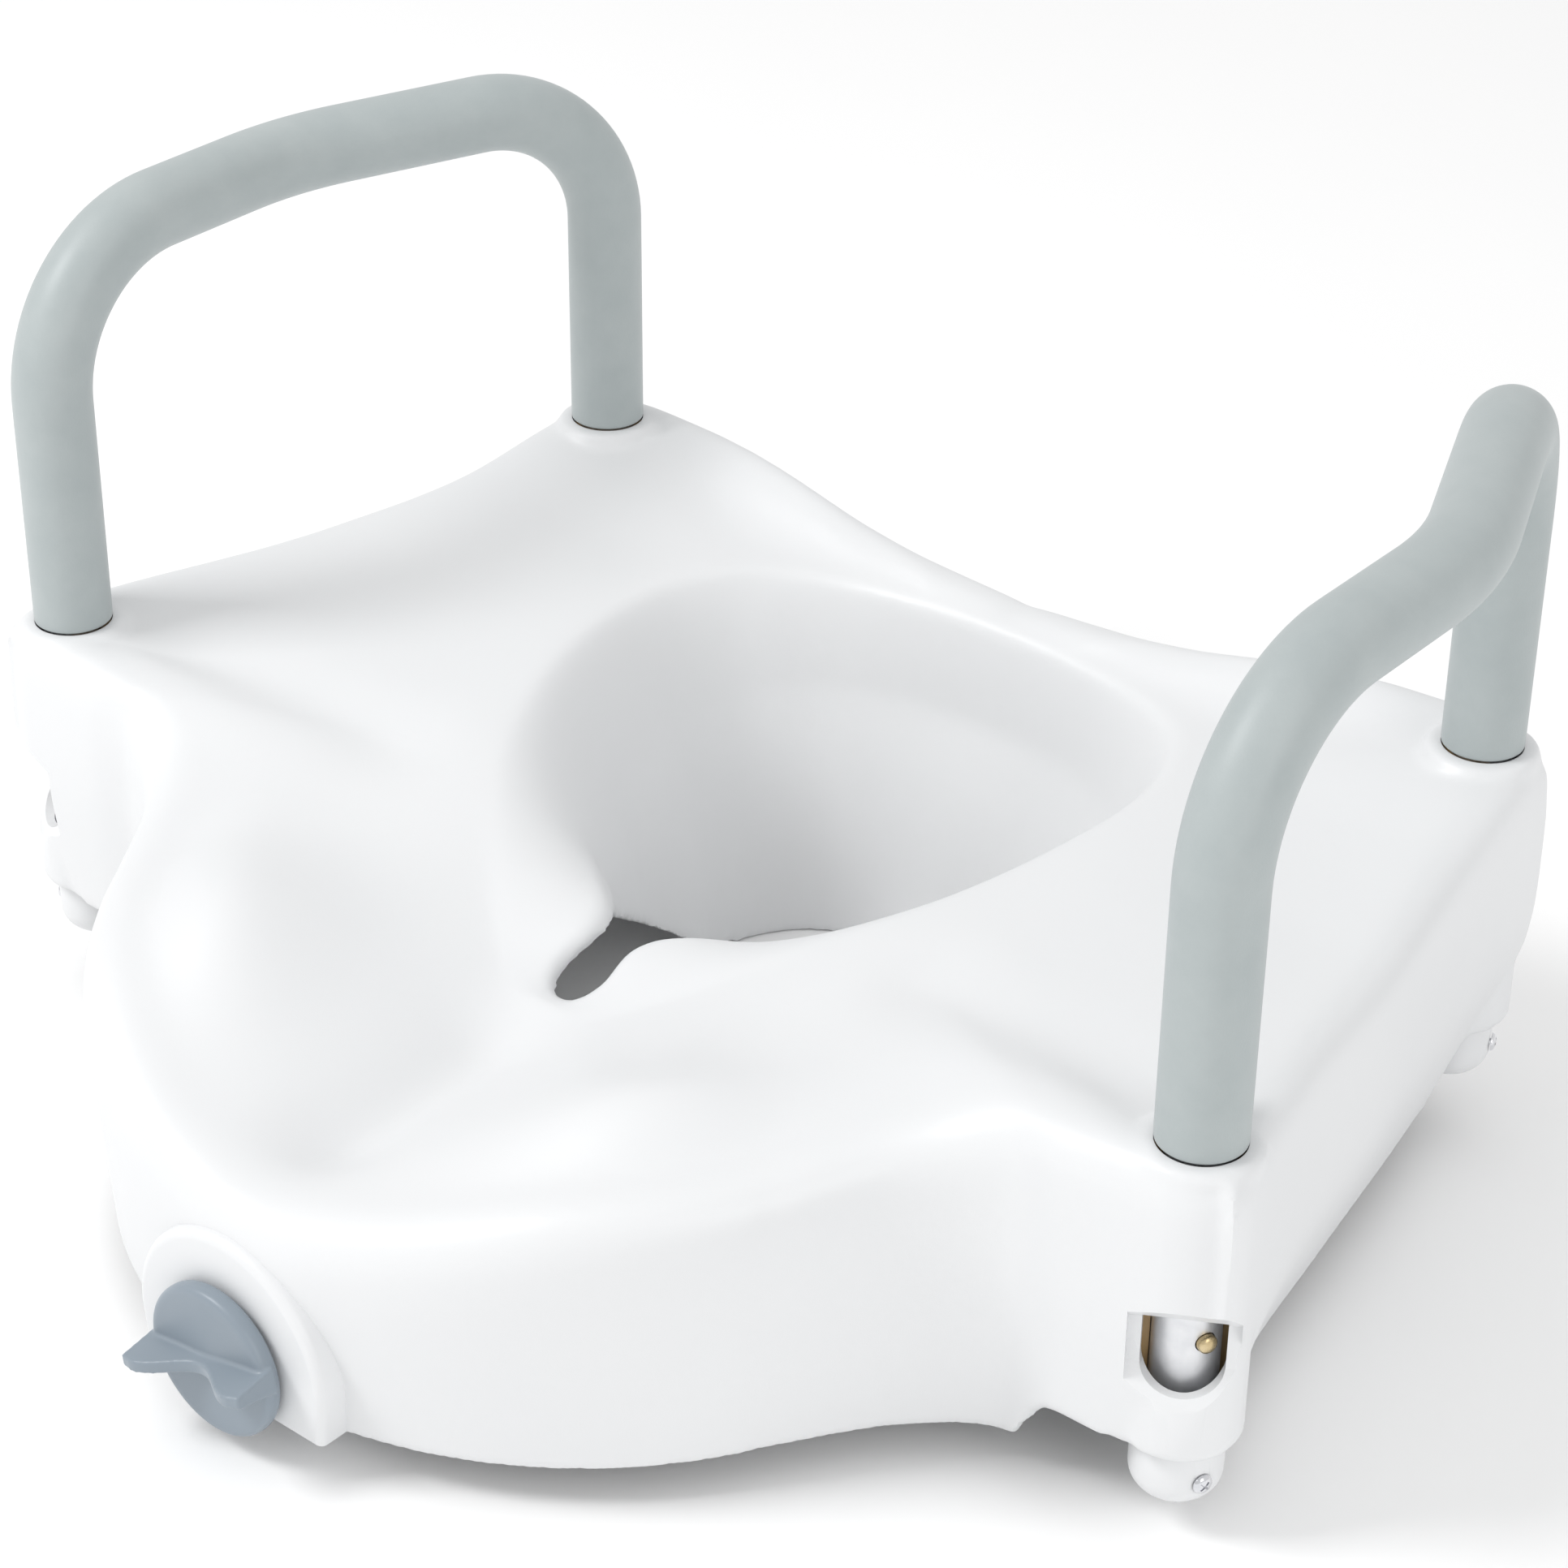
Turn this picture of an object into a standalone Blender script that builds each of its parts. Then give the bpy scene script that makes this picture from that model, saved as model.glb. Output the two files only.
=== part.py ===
"""Raised toilet seat with lift-out arms and a front rim clamp, as separate solid pieces.

Run with: blender --background --python part.py
Units are metres. +X is to the right of someone facing the front, +Y points to the back, +Z up.
Pieces are placed from a datum midway between the four arm legs, level with the front socket tops.
"""

import math

import bmesh
import bpy
import numpy as np
from mathutils import Matrix, Vector
from mathutils.bvhtree import BVHTree

# ---------------------------------------------------------------- datum
DATUM_Y = 0.0832  # puts the whole object's depth evenly about y = 0
DATUM_Z = 0.1432  # puts the lowest edge on z = 0

# ---------------------------------------------------------------- arm legs and sockets
FRONT_LEG = (0.250, -0.119)  # half width and y of the front legs
BACK_LEG = (0.2015, 0.119)
BACK_RISE = 0.013  # back socket tops stand this much higher
POST_RADIUS = 0.020
POST_DEPTH = 0.108
BORE_RADIUS = 0.0142  # leaves room for the liner, and for the button to pass its gap
BORE_DEPTH = 0.104
SPIGOT_RADIUS = 0.009
SPIGOT_END = 0.127
CAP_RADIUS = 0.015
CAP_ROOM = 0.0018  # the body stands back this far from each cap
CAP_END = 0.132
SCREW_DEPTH = 0.120  # of the cap screws below the socket top
PILOT_RADIUS = 0.0016
SCREW_SHANK = 0.0013
SCREW_HEAD = 0.0033
SCREW_PLAY = 0.0002
WINDOW_TOP = 0.058  # below the socket top
WINDOW_BOTTOM = 0.084
WINDOW_HALF_WIDTH = 0.013
WINDOW_CORNER = 0.009
SCOOP_TOP = 0.046
SCOOP_BOTTOM = 0.090
SCOOP_HALF_WIDTH = 0.017
FRONT_WINDOW_TURN = 30.0  # degrees outward from straight ahead
BACK_WINDOW_TURN = 5.0  # degrees outward from straight behind
LINER_OUTER = 0.0139  # C-shaped packing strip in each socket, open beside the button
LINER_INNER = 0.0113
LINER_DEPTH = 0.100
LINER_OPENING = 180.0  # degrees
LINER_TURN = 45.0  # the middle of its opening, degrees outward

# ---------------------------------------------------------------- snap buttons
BUTTON_TURN = 66.0  # degrees outward from straight ahead or straight behind
BUTTON_DEPTH = 0.068
BUTTON_RADIUS = 0.0032
BUTTON_REACH = 0.0028  # stands this far out of the tube
BUTTON_BACK = 0.0063  # the back of its flange, from the leg's axis
FLANGE_RADIUS = 0.0038
FLANGE_THICKNESS = 0.0013
LEAF_SPREAD = 0.0056  # of each spring's two ends, from the leg's axis
LEAF_KNEE = 0.0026
LEAF_DEPTH = 0.028
LEAF_WIDTH = 0.004
LEAF_THICKNESS = 0.0006
GAP = 0.0003

# ---------------------------------------------------------------- arm tubes and sleeves
TUBE_RADIUS = 0.011
TUBE_WALL = 0.0015
SLEEVE_RADIUS = 0.0143
SLEEVE_START = 0.0012  # the foam stops this far above each socket
ARM_FRONT_TOP = 0.142
ARM_MID_TOP = 0.145
ARM_BACK_TOP = 0.150
ARM_MID = (0.2507, 0.000)
BEND_FRONT = 0.057
BEND_MID = 0.112
BEND_BACK = 0.050

# ---------------------------------------------------------------- seat body
SHELL_THICKNESS = 0.004
SECTORS = 72
POLE_Y = -0.020  # the radial sections meet on this line
NOSE_Y = -0.110  # centre of the half-round front
NOSE_RADIUS = 0.1675
NOSE_FOOT_RADIUS = 0.163
FOOT_Z = -0.129
WING_Z = -0.108
GUARD_Z = -0.143
BELT_Z = -0.060

# ---------------------------------------------------------------- front clamp
AXIS_Z = -0.1095  # height of the knob's axis
BOSS_FACE = -0.284
BOSS_BACK = -0.262
BOSS_HALF_WIDTH = 0.042
BOSS_RISE = 0.043
BOSS_FOOT = -0.128
WASHER_RADIUS = 0.011
WASHER_THICKNESS = 0.0008
KNOB_RADIUS = 0.027
KNOB_DEPTH = 0.0070
GRIP_REACH = 0.020  # from the knob's back to the tips of its grip
GRIP_THICKNESS = 0.008
GRIP_TURN = 11.5
SHAFT_RADIUS = 0.0050
SHAFT_START = -0.2895
SHAFT_END = -0.2275
CLIP_RADIUS = 0.009
CLIP_THICKNESS = 0.0012
RAIL_X = 0.0245
RAIL_HALF = 0.002
RAIL_Z = (-0.1055, -0.060)
RAIL_Y = (-0.264, -0.205)
BLOCK_HALF_WIDTH = 0.0205
BLOCK_Y = (-0.258, -0.226)
BLOCK_Z = (-0.119, -0.099)
NUT_RADIUS = 0.0085
NUT_THICKNESS = 0.005
JAW_HALF_WIDTH = 0.046
JAW_THICKNESS = 0.004
JAW_Z = (-0.128, -0.1065)
JAW_PAD_THICKNESS = 0.004

# ---------------------------------------------------------------- rest pads on the bowl's rim
PAD_TOP = -0.107
PAD_RADIUS = 0.012
PILLAR_RADIUS = 0.009
PAD_THICKNESS = 0.005
PAD_PLACES = ((0.103, -0.197), (0.150, 0.050))

for old in list(bpy.data.objects):
    bpy.data.objects.remove(old, do_unlink=True)


def collection(name):
    made = bpy.data.collections.new(name)
    bpy.context.scene.collection.children.link(made)
    return made


PARTS = collection("raised_toilet_seat")
GUIDES = collection("cutters")
DATUM = bpy.data.objects.new("seat_datum", None)
DATUM.location = (0, DATUM_Y, DATUM_Z)
PARTS.objects.link(DATUM)


# ---------------------------------------------------------------- materials
def material(name, colour, roughness, metallic=0.0):
    made = bpy.data.materials.new(name)
    made.use_nodes = True
    shader = made.node_tree.nodes["Principled BSDF"]
    shader.inputs["Base Color"].default_value = (*colour, 1)
    shader.inputs["Roughness"].default_value = roughness
    shader.inputs["Metallic"].default_value = metallic
    return made


WHITE_PLASTIC = material("white_plastic", (0.86, 0.87, 0.88), 0.42)
GREY_FOAM = material("grey_foam", (0.45, 0.52, 0.52), 0.85)
GREY_PLASTIC = material("grey_plastic", (0.27, 0.31, 0.35), 0.40)
SATIN_ALUMINIUM = material("satin_aluminium", (0.62, 0.62, 0.64), 0.35, 1.0)
BRASS = material("brass", (0.60, 0.46, 0.24), 0.30, 1.0)
SPRING_STEEL = material("spring_steel", (0.40, 0.40, 0.42), 0.35, 1.0)
BRIGHT_STEEL = material("bright_steel", (0.70, 0.70, 0.72), 0.20, 1.0)
DARK_RUBBER = material("dark_rubber", (0.05, 0.05, 0.055), 0.80)
TAN_NYLON = material("tan_nylon", (0.32, 0.22, 0.11), 0.55)


# ---------------------------------------------------------------- shared shapes
def add(name, mesh, finish, home=PARTS):
    made = bpy.data.objects.new(name, mesh)
    home.objects.link(made)
    made.parent = DATUM
    if finish:
        mesh.materials.append(finish)
    if home is GUIDES:
        made.hide_render = True
        made.display_type = "WIRE"
    return made


def mesh_from(bm, name, smooth_angle=None):
    made = bpy.data.meshes.new(name)
    bm.to_mesh(made)
    bm.free()
    if smooth_angle:
        made.shade_smooth()
        made.set_sharp_from_angle(angle=math.radians(smooth_angle))
    return made


def rod_mesh(name, radius, length, sides=24):
    """A cylinder along +Z with its foot at the origin."""
    bm = bmesh.new()
    bmesh.ops.create_cone(
        bm, cap_ends=True, segments=sides, radius1=radius, radius2=radius, depth=length
    )
    bmesh.ops.translate(bm, vec=(0, 0, length / 2), verts=bm.verts)
    return mesh_from(bm, name, 40)


def box_mesh(name, low, high):
    bm = bmesh.new()
    bmesh.ops.create_cube(bm, size=1)
    low, high = Vector(low), Vector(high)
    bmesh.ops.scale(bm, vec=high - low, verts=bm.verts)
    bmesh.ops.translate(bm, vec=(low + high) / 2, verts=bm.verts)
    return mesh_from(bm, name)


def turned(name, profile, finish, sides=32, home=PARTS):
    """A profile of (radius, z) points turned about Z; it runs down the outer side."""
    bm = bmesh.new()
    rows = [bm.verts.new((radius, 0, z)) for radius, z in profile]
    closed = profile[0][0] > 0 and profile[-1][0] > 0
    for first, second in zip(rows, rows[1:] + rows[:1] if closed else rows[1:]):
        bm.edges.new((first, second))
    made = add(name, mesh_from(bm, name), finish, home)
    screw = made.modifiers.new("turn", "SCREW")
    screw.steps = sides
    screw.render_steps = sides
    screw.use_merge_vertices = True
    screw.merge_threshold = 0.00005
    screw.use_smooth_shade = True
    return made


def extruded(name, outline, depth, finish, home=PARTS):
    """A flat outline of (x, y) points given a thickness along Z, centred on z = 0."""
    curve = bpy.data.curves.new(name, "CURVE")
    curve.dimensions = "2D"
    curve.fill_mode = "BOTH"
    curve.extrude = depth / 2
    spline = curve.splines.new("POLY")
    spline.points.add(len(outline) - 1)
    for point, (x, y) in zip(spline.points, outline):
        point.co = (x, y, 0, 1)
    spline.use_cyclic_u = True
    return as_mesh(add(name, curve, finish, home))


def as_mesh(made, weld=True):
    """Swaps a curve object for the mesh that it draws."""
    bpy.context.view_layer.update()
    seen = made.evaluated_get(bpy.context.evaluated_depsgraph_get())
    mesh = bpy.data.meshes.new_from_object(seen)
    if weld:
        bm = bmesh.new()
        bm.from_mesh(mesh)
        bmesh.ops.remove_doubles(bm, verts=bm.verts, dist=0.00001)
        bm.to_mesh(mesh)
        bm.free()
    name, home, old = made.name, made.users_collection[0], made.data
    bpy.data.objects.remove(made)
    bpy.data.curves.remove(old)
    return add(name, mesh, None, home)


def boolean(target, tool, operation):
    step = target.modifiers.new(operation.lower(), "BOOLEAN")
    step.operation = operation
    step.object = tool
    step.solver = "EXACT"


def place(made, origin, direction=(0, 0, 1)):
    """Stands a piece made along +Z at a point, pointing along a direction."""
    made.location = origin
    made.rotation_mode = "QUATERNION"
    made.rotation_quaternion = Vector((0, 0, 1)).rotation_difference(Vector(direction))
    return made


def set_origin(made, point):
    """Moves a piece's origin to a point while its shape stays in place."""
    made.data.transform(Matrix.Translation(-Vector(point)))
    made.location = point
    return made


def leg_places():
    """Every leg's name, side, end, x, y and socket top."""
    for end, (x, y), top in (("front", FRONT_LEG, 0.0), ("back", BACK_LEG, BACK_RISE)):
        for side, sign in (("left", -1), ("right", 1)):
            yield f"{end}_{side}", sign, end, sign * x, y, top


def outward(sign, end, degrees):
    """A level direction turned outward from straight ahead, or from straight behind."""
    ahead = -1 if end == "front" else 1
    turn = math.radians(degrees)
    return Vector((sign * math.sin(turn), ahead * math.cos(turn), 0))


# ---------------------------------------------------------------- seat body outlines
def arc(centre_y, radius, first, last, steps):
    """Points of the round nose, by angle in degrees from straight ahead towards +X."""
    angles = np.radians(np.linspace(first, last, steps))
    return [(radius * math.sin(a), centre_y - radius * math.cos(a)) for a in angles]


def belt_outline():
    """The body's widest outline, right half, from the nose to the middle of the back."""
    sides = [(0.196, -0.1375), (0.225, -0.1385), (0.256, -0.1340), (0.2630, -0.1150)]
    sides += [(0.2520, -0.0700), (0.2420, 0.0000), (0.2300, 0.0600), (0.2190, 0.1020)]
    back = [(0.2130, 0.1260), (0.2000, 0.1340), (0.1500, 0.1330), (0.0, 0.1350)]
    return arc(NOSE_Y, NOSE_RADIUS, 0, 62, 12) + [(0.168, -0.1560)] + sides + back


def foot_outline():
    """The outline of the lower edge, drawn in from the widest outline."""
    sides = [(0.193, -0.1320), (0.225, -0.1360), (0.250, -0.1300), (0.2480, -0.1050)]
    sides += [(0.2310, -0.0600), (0.2190, 0.0000), (0.2080, 0.0600), (0.2020, 0.0950)]
    back = [(0.1980, 0.1150), (0.1860, 0.1220), (0.1400, 0.1210), (0.0, 0.1220)]
    return arc(NOSE_Y, NOSE_FOOT_RADIUS, 0, 62, 12) + [(0.167, -0.1540)] + sides + back


def lip_outline():
    """The edge of the keyhole opening: a narrow notch in front of a wide oval."""
    notch = [(0.0, -0.1310), (0.0085, -0.1280), (0.0135, -0.1180), (0.0135, -0.1020)]
    flare = [(0.0200, -0.0890), (0.0360, -0.0740), (0.0550, -0.0580), (0.0710, -0.0390)]
    oval = [(0.0850, -0.0160), (0.0940, 0.0100), (0.0970, 0.0380), (0.0900, 0.0660)]
    back = [(0.0740, 0.0880), (0.0500, 0.1010), (0.0250, 0.1065), (0.0, 0.1080)]
    return notch + flare + oval + back


def smoothed(outline, steps=6):
    """A curve through the points of a half outline, level where it meets x = 0."""
    points = np.array(outline)
    points = np.vstack([points[1] * (-1, 1), points, points[-2] * (-1, 1)])
    curve = []
    for a, b, c, d in zip(points, points[1:], points[2:], points[3:]):
        for t in np.arange(steps) / steps:
            swing = (2 * a - 5 * b + 4 * c - d) * t**2 + (3 * b - a - 3 * c + d) * t**3
            curve.append(b + ((c - a) * t + swing) / 2)
    return np.array(curve + [points[-2]])


def reach_of(outline, angle):
    """Distance from the pole to a half outline in a direction measured from straight ahead."""
    x, y = outline.T
    turns = np.arctan2(x, POLE_Y - y)
    return float(np.interp(angle, turns, np.hypot(x, y - POLE_Y)))


def blend(x, table):
    """Smooth steps through a table of (x, value) pairs."""
    at, value = zip(*table)
    k = int(np.clip(np.searchsorted(at, x) - 1, 0, len(at) - 2))
    t = float(np.clip((x - at[k]) / (at[k + 1] - at[k]), 0, 1))
    return value[k] + (value[k + 1] - value[k]) * t * t * (3 - 2 * t)


def edge_height(angle):
    """Height of the top edge, by degrees from straight ahead."""
    nose = [(0, -0.058), (8, -0.052), (24, -0.034), (42, -0.030), (56, -0.020)]
    sides = [(68, -0.003), (95, -0.007), (110, -0.002), (124.6, 0.010)]
    return blend(angle, nose + sides + [(150, -0.004), (180, -0.011)])


def lip_height(y):
    return blend(y, [(-0.131, -0.056), (-0.060, -0.042), (0.010, -0.033), (0.108, -0.036)])


def guard_height(y):
    """The splash guard's lower edge arches up towards the notch."""
    low = [(-0.131, -0.066), (-0.090, -0.080), (-0.030, -0.114), (0.008, -0.119)]
    return blend(y, low + [(0.045, GUARD_Z), (0.108, GUARD_Z)])


def foot_height(degrees):
    """The lower edge is raised across the wings beside the front sockets."""
    return WING_Z if 59.5 < degrees < 72 else FOOT_Z


def section(outlines, angle):
    """One radial section, from the outer lower edge over the seat to the inner lower edge."""
    degrees = math.degrees(angle)
    foot, belt, lip = (reach_of(outline, angle) for outline in outlines)
    lip_y = POLE_Y - lip * math.cos(angle)
    top, brim, low = edge_height(degrees), lip_height(lip_y), guard_height(lip_y)
    skirt = min(BELT_Z, top - 0.026)
    rows = [(foot, foot_height(degrees)), ((foot + belt) / 2, (FOOT_Z + skirt) / 2)]
    rows += [(belt, skirt), (belt - 0.0015, top - 0.013), (belt - 0.008, top - 0.0035)]
    edge = belt - 0.020
    rows += [(edge, top)]
    deck = lip + 0.012
    for share in (0.22, 0.45, 0.70, 0.90):
        fall = share**1.35
        rows.append((edge + (deck - edge) * share, top + (brim - top) * fall))
    rows += [(deck, brim - 0.0010), (lip + 0.003, brim - 0.0055), (lip, brim - 0.014)]
    depth = brim - 0.014 - low
    if depth > 0.030:
        rows.append((lip - 0.003, brim - 0.014 - depth / 2))
    else:
        rows.append((lip - 0.001, brim - 0.014 - depth / 2))
    rows.append((lip - 0.005 if depth > 0.030 else lip - 0.0015, low))
    return rows


def sector_angles():
    """Half of the sectors, closer together at the nose and the back."""
    share = np.linspace(0, 1, SECTORS // 2 + 1)
    return math.pi * (share - 0.35 * np.sin(2 * math.pi * share) / (2 * math.pi))


def body_surface():
    """The open surface of the seat body, lofted round the pole."""
    half = sector_angles()
    turns = [*half, *(2 * math.pi - half[-2:0:-1])]
    outlines = [smoothed(outline) for outline in (foot_outline(), belt_outline(), lip_outline())]
    bm = bmesh.new()
    rings = []
    for turn in turns:
        ring = []
        for reach, z in section(outlines, min(turn, 2 * math.pi - turn)):
            x, y = reach * math.sin(turn), POLE_Y - reach * math.cos(turn)
            ring.append(bm.verts.new((x, y, z)))
        rings.append(ring)
    for this, following in zip(rings, rings[1:] + rings[:1]):
        for a, b, c, d in zip(this, following, following[1:], this[1:]):
            bm.faces.new((a, b, c, d))
    return mesh_from(bm, "seat_shell", 50)


# ---------------------------------------------------------------- seat body
def post(name, x, y, top):
    """A corner post with a thinner spigot below it."""
    foot, end = -POST_DEPTH, -SPIGOT_END
    outer = [(0, 0), (POST_RADIUS - 0.003, 0), (POST_RADIUS, -0.003)]
    lower = [(POST_RADIUS, foot + 0.002), (POST_RADIUS - 0.002, foot), (SPIGOT_RADIUS, foot)]
    profile = outer + lower + [(SPIGOT_RADIUS, end), (0, end)]
    made = turned(f"post_{name}", profile, None, 32, GUIDES)
    return place(made, (x, y, top))


def bore(name, x, y, top):
    """The leg's bore, open at the socket's top."""
    hole = add(f"bore_{name}", rod_mesh("bore", BORE_RADIUS, BORE_DEPTH + 0.02, 32), None, GUIDES)
    return place(hole, (x, y, top - BORE_DEPTH))


def window(name, x, y, top, direction):
    """The opening to the bore and the scoop round it."""
    height, half, corner = WINDOW_BOTTOM - WINDOW_TOP, WINDOW_HALF_WIDTH, WINDOW_CORNER
    outline = [(-half, height), (half, height), (half, corner)]
    turns = np.radians(np.linspace(0, -180, 9))
    outline += [(half * math.cos(t), corner + corner * math.sin(t)) for t in turns[1:-1]]
    outline += [(-half, corner)]
    length = 2.5 * POST_RADIUS
    opening = extruded(f"window_{name}", outline, length, None, GUIDES)
    heading = math.atan2(direction.y, direction.x)
    stand = Matrix.Rotation(heading + math.pi / 2, 4, "Z") @ Matrix.Rotation(math.pi / 2, 4, "X")
    centre = Vector((x, y, top - WINDOW_BOTTOM)) + direction * length / 2
    opening.matrix_local = Matrix.Translation(centre) @ stand
    wide = SCOOP_HALF_WIDTH
    inner, outer = POST_RADIUS - 0.0055, POST_RADIUS + 0.006
    flank = [(inner, -WINDOW_TOP), (outer, -SCOOP_TOP + 0.006), (outer, -SCOOP_BOTTOM)]
    flank += [(inner, -WINDOW_BOTTOM + 0.004)]
    scoop = extruded(f"scoop_{name}", flank, 2 * wide, None, GUIDES)
    lay = Matrix.Rotation(heading, 4, "Z") @ Matrix.Rotation(math.pi / 2, 4, "X")
    scoop.matrix_local = Matrix.Translation((x, y, top)) @ lay
    return opening, scoop


def boss():
    """The arched pad on the nose that the knob turns on."""
    half = BOSS_HALF_WIDTH
    turns = np.radians(np.linspace(0, 180, 17))
    outline = [(half * math.cos(t), AXIS_Z + BOSS_RISE * math.sin(t)) for t in turns]
    outline += [(-half, BOSS_FOOT), (half, BOSS_FOOT)]
    made = extruded("boss_block", outline, BOSS_BACK - BOSS_FACE, None, GUIDES)
    middle = (BOSS_FACE + BOSS_BACK) / 2
    made.matrix_local = Matrix.Translation((0, middle, 0)) @ Matrix.Rotation(math.pi / 2, 4, "X")
    return made


def lowest_deck(surface, x, y, radius):
    """The height of the body's top surface where it is lowest above a disc."""
    bm = bmesh.new()
    bm.from_mesh(surface)
    tree = BVHTree.FromBMesh(bm)
    bm.free()
    heights = []
    for turn in np.radians(range(0, 360, 30)):
        start = Vector((x + radius * math.cos(turn), y + radius * math.sin(turn), DATUM_Z))
        heights.append(tree.ray_cast(start, Vector((0, 0, -1)))[0].z)
    return min(heights)


def seat_shell():
    surface = body_surface()
    made = add("seat_shell", surface, WHITE_PLASTIC)
    skin = made.modifiers.new("skin", "SOLIDIFY")
    skin.thickness = SHELL_THICKNESS
    skin.offset = -1
    skin.use_even_offset = True
    for name, sign, end, x, y, top in leg_places():
        depth = DATUM_Z
        mesh = rod_mesh("cap_room", CAP_RADIUS + CAP_ROOM, depth)
        room = add(f"cap_room_{name}", mesh, None, GUIDES)
        room.location = (x, y, top - POST_DEPTH - depth)
        boolean(made, room, "DIFFERENCE")
        boolean(made, post(name, x, y, top), "UNION")
    boolean(made, boss(), "UNION")
    for k, (x, y) in enumerate(PAD_PLACES):
        top = lowest_deck(surface, x, y, PILLAR_RADIUS) - SHELL_THICKNESS / 2
        for sign in (-1, 1):
            mesh = rod_mesh("rest_pillar", PILLAR_RADIUS, top - PAD_TOP, 20)
            pillar = add(f"pillar_{k}_{sign}", mesh, None, GUIDES)
            pillar.location = (sign * x, y, PAD_TOP)
            boolean(made, pillar, "UNION")
    for sign in (-1, 1):
        low = (sign * RAIL_X - RAIL_HALF, RAIL_Y[0], RAIL_Z[0])
        high = (sign * RAIL_X + RAIL_HALF, RAIL_Y[1], RAIL_Z[1])
        rail = add(f"rail_{sign}", box_mesh("clamp_rail", low, high), None, GUIDES)
        boolean(made, rail, "UNION")
    for name, sign, end, x, y, top in leg_places():
        facing = FRONT_WINDOW_TURN if end == "front" else BACK_WINDOW_TURN
        boolean(made, bore(name, x, y, top), "DIFFERENCE")
        for tool in window(name, x, y, top, outward(sign, end, facing)):
            boolean(made, tool, "DIFFERENCE")
        pilot = add(f"pilot_{name}", rod_mesh("pilot", PILOT_RADIUS, 0.006, 12), None, GUIDES)
        heading = outward(sign, end, BUTTON_TURN)
        start = Vector((x, y, top - SCREW_DEPTH)) + heading * (SPIGOT_RADIUS - 0.005)
        place(pilot, start, heading)
        boolean(made, pilot, "DIFFERENCE")
    shaft_hole = add("shaft_hole", rod_mesh("shaft_hole", SHAFT_RADIUS + GAP, 0.05), None, GUIDES)
    place(shaft_hole, (0, -0.300, AXIS_Z), (0, 1, 0))
    boolean(made, shaft_hole, "DIFFERENCE")
    return made


# ---------------------------------------------------------------- arms
def filleted(corners, radii, steps=6):
    """A path through corner points, each corner rounded to a radius."""
    path = [Vector(corners[0])]
    for before, corner, after, radius in zip(corners, corners[1:], corners[2:], radii):
        corner = Vector(corner)
        first = (Vector(before) - corner).normalized()
        second = (Vector(after) - corner).normalized()
        half = first.angle(second) / 2
        run = radius / math.tan(half)
        start, centre = corner + first * run, (first + second).normalized()
        centre = corner + centre * (radius / math.sin(half))
        spoke = start - centre
        axis = spoke.cross(corner + second * run - centre)
        sweep = math.pi - 2 * half
        for k in range(steps + 1):
            path.append(centre + Matrix.Rotation(sweep * k / steps, 3, axis) @ spoke)
    path.append(Vector(corners[-1]))
    return path


def arm_corners(sign, front_z, back_z):
    """The arm's corner points, from one height on the front leg to one on the back leg."""
    (fx, fy), (bx, by), (mx, my) = FRONT_LEG, BACK_LEG, ARM_MID
    front = [(sign * fx, fy, front_z), (sign * fx, fy, ARM_FRONT_TOP)]
    back = [(sign * bx, by, ARM_BACK_TOP), (sign * bx, by, back_z)]
    return front + [(sign * mx, my, ARM_MID_TOP)] + back


def hollow_tube(name, path, radius, wall, finish, resolution):
    """A bent tube, open at both ends."""
    curve = bpy.data.curves.new(name, "CURVE")
    curve.dimensions = "3D"
    curve.bevel_depth = radius
    curve.bevel_resolution = resolution
    spline = curve.splines.new("POLY")
    spline.points.add(len(path) - 1)
    for point, place_at in zip(spline.points, path):
        point.co = (*place_at, 1)
    made = as_mesh(add(name, curve, finish))
    made.data.shade_smooth()
    skin = made.modifiers.new("wall", "SOLIDIFY")
    skin.thickness = wall
    skin.offset = -1
    skin.use_even_offset = True
    return made


def arm_tube(side, sign):
    foot = GAP - BORE_DEPTH
    corners = arm_corners(sign, foot, foot + BACK_RISE)
    path = filleted(corners, (BEND_FRONT, BEND_MID, BEND_BACK))
    made = hollow_tube(f"arm_tube_{side}", path, TUBE_RADIUS, TUBE_WALL, SATIN_ALUMINIUM, 4)
    set_origin(made, corners[0])
    for name, leg_sign, end, x, y, top in leg_places():
        if leg_sign == sign:
            mesh = rod_mesh("button_hole", BUTTON_RADIUS + GAP, TUBE_RADIUS + 0.004, 16)
            hole = add(f"button_hole_{name}", mesh, None, GUIDES)
            place(hole, (x, y, top - BUTTON_DEPTH), outward(sign, end, BUTTON_TURN))
            boolean(made, hole, "DIFFERENCE")
    return made


def arm_sleeve(side, sign):
    corners = arm_corners(sign, SLEEVE_START, BACK_RISE + SLEEVE_START)
    path = filleted(corners, (BEND_FRONT, BEND_MID, BEND_BACK))
    wall = SLEEVE_RADIUS - TUBE_RADIUS - GAP
    made = hollow_tube(f"arm_sleeve_{side}", path, SLEEVE_RADIUS, wall, GREY_FOAM, 4)
    return set_origin(made, corners[0])


# ---------------------------------------------------------------- snap buttons and sockets
def snap_button(name, sign, end, x, y, top):
    """A domed button with a flange that stays inside the tube."""
    tip = TUBE_RADIUS + BUTTON_REACH
    flange, inner, front = FLANGE_RADIUS, BUTTON_BACK, BUTTON_BACK + FLANGE_THICKNESS
    dome = [(0, tip), (BUTTON_RADIUS * 0.6, tip - 0.0004), (BUTTON_RADIUS, tip - 0.0015)]
    shank = [(BUTTON_RADIUS, front), (flange, front), (flange, inner)]
    made = turned(f"snap_button_{name}", dome + shank + [(0, inner)], BRASS, 20)
    return place(made, (x, y, top - BUTTON_DEPTH), outward(sign, end, BUTTON_TURN))


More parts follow.
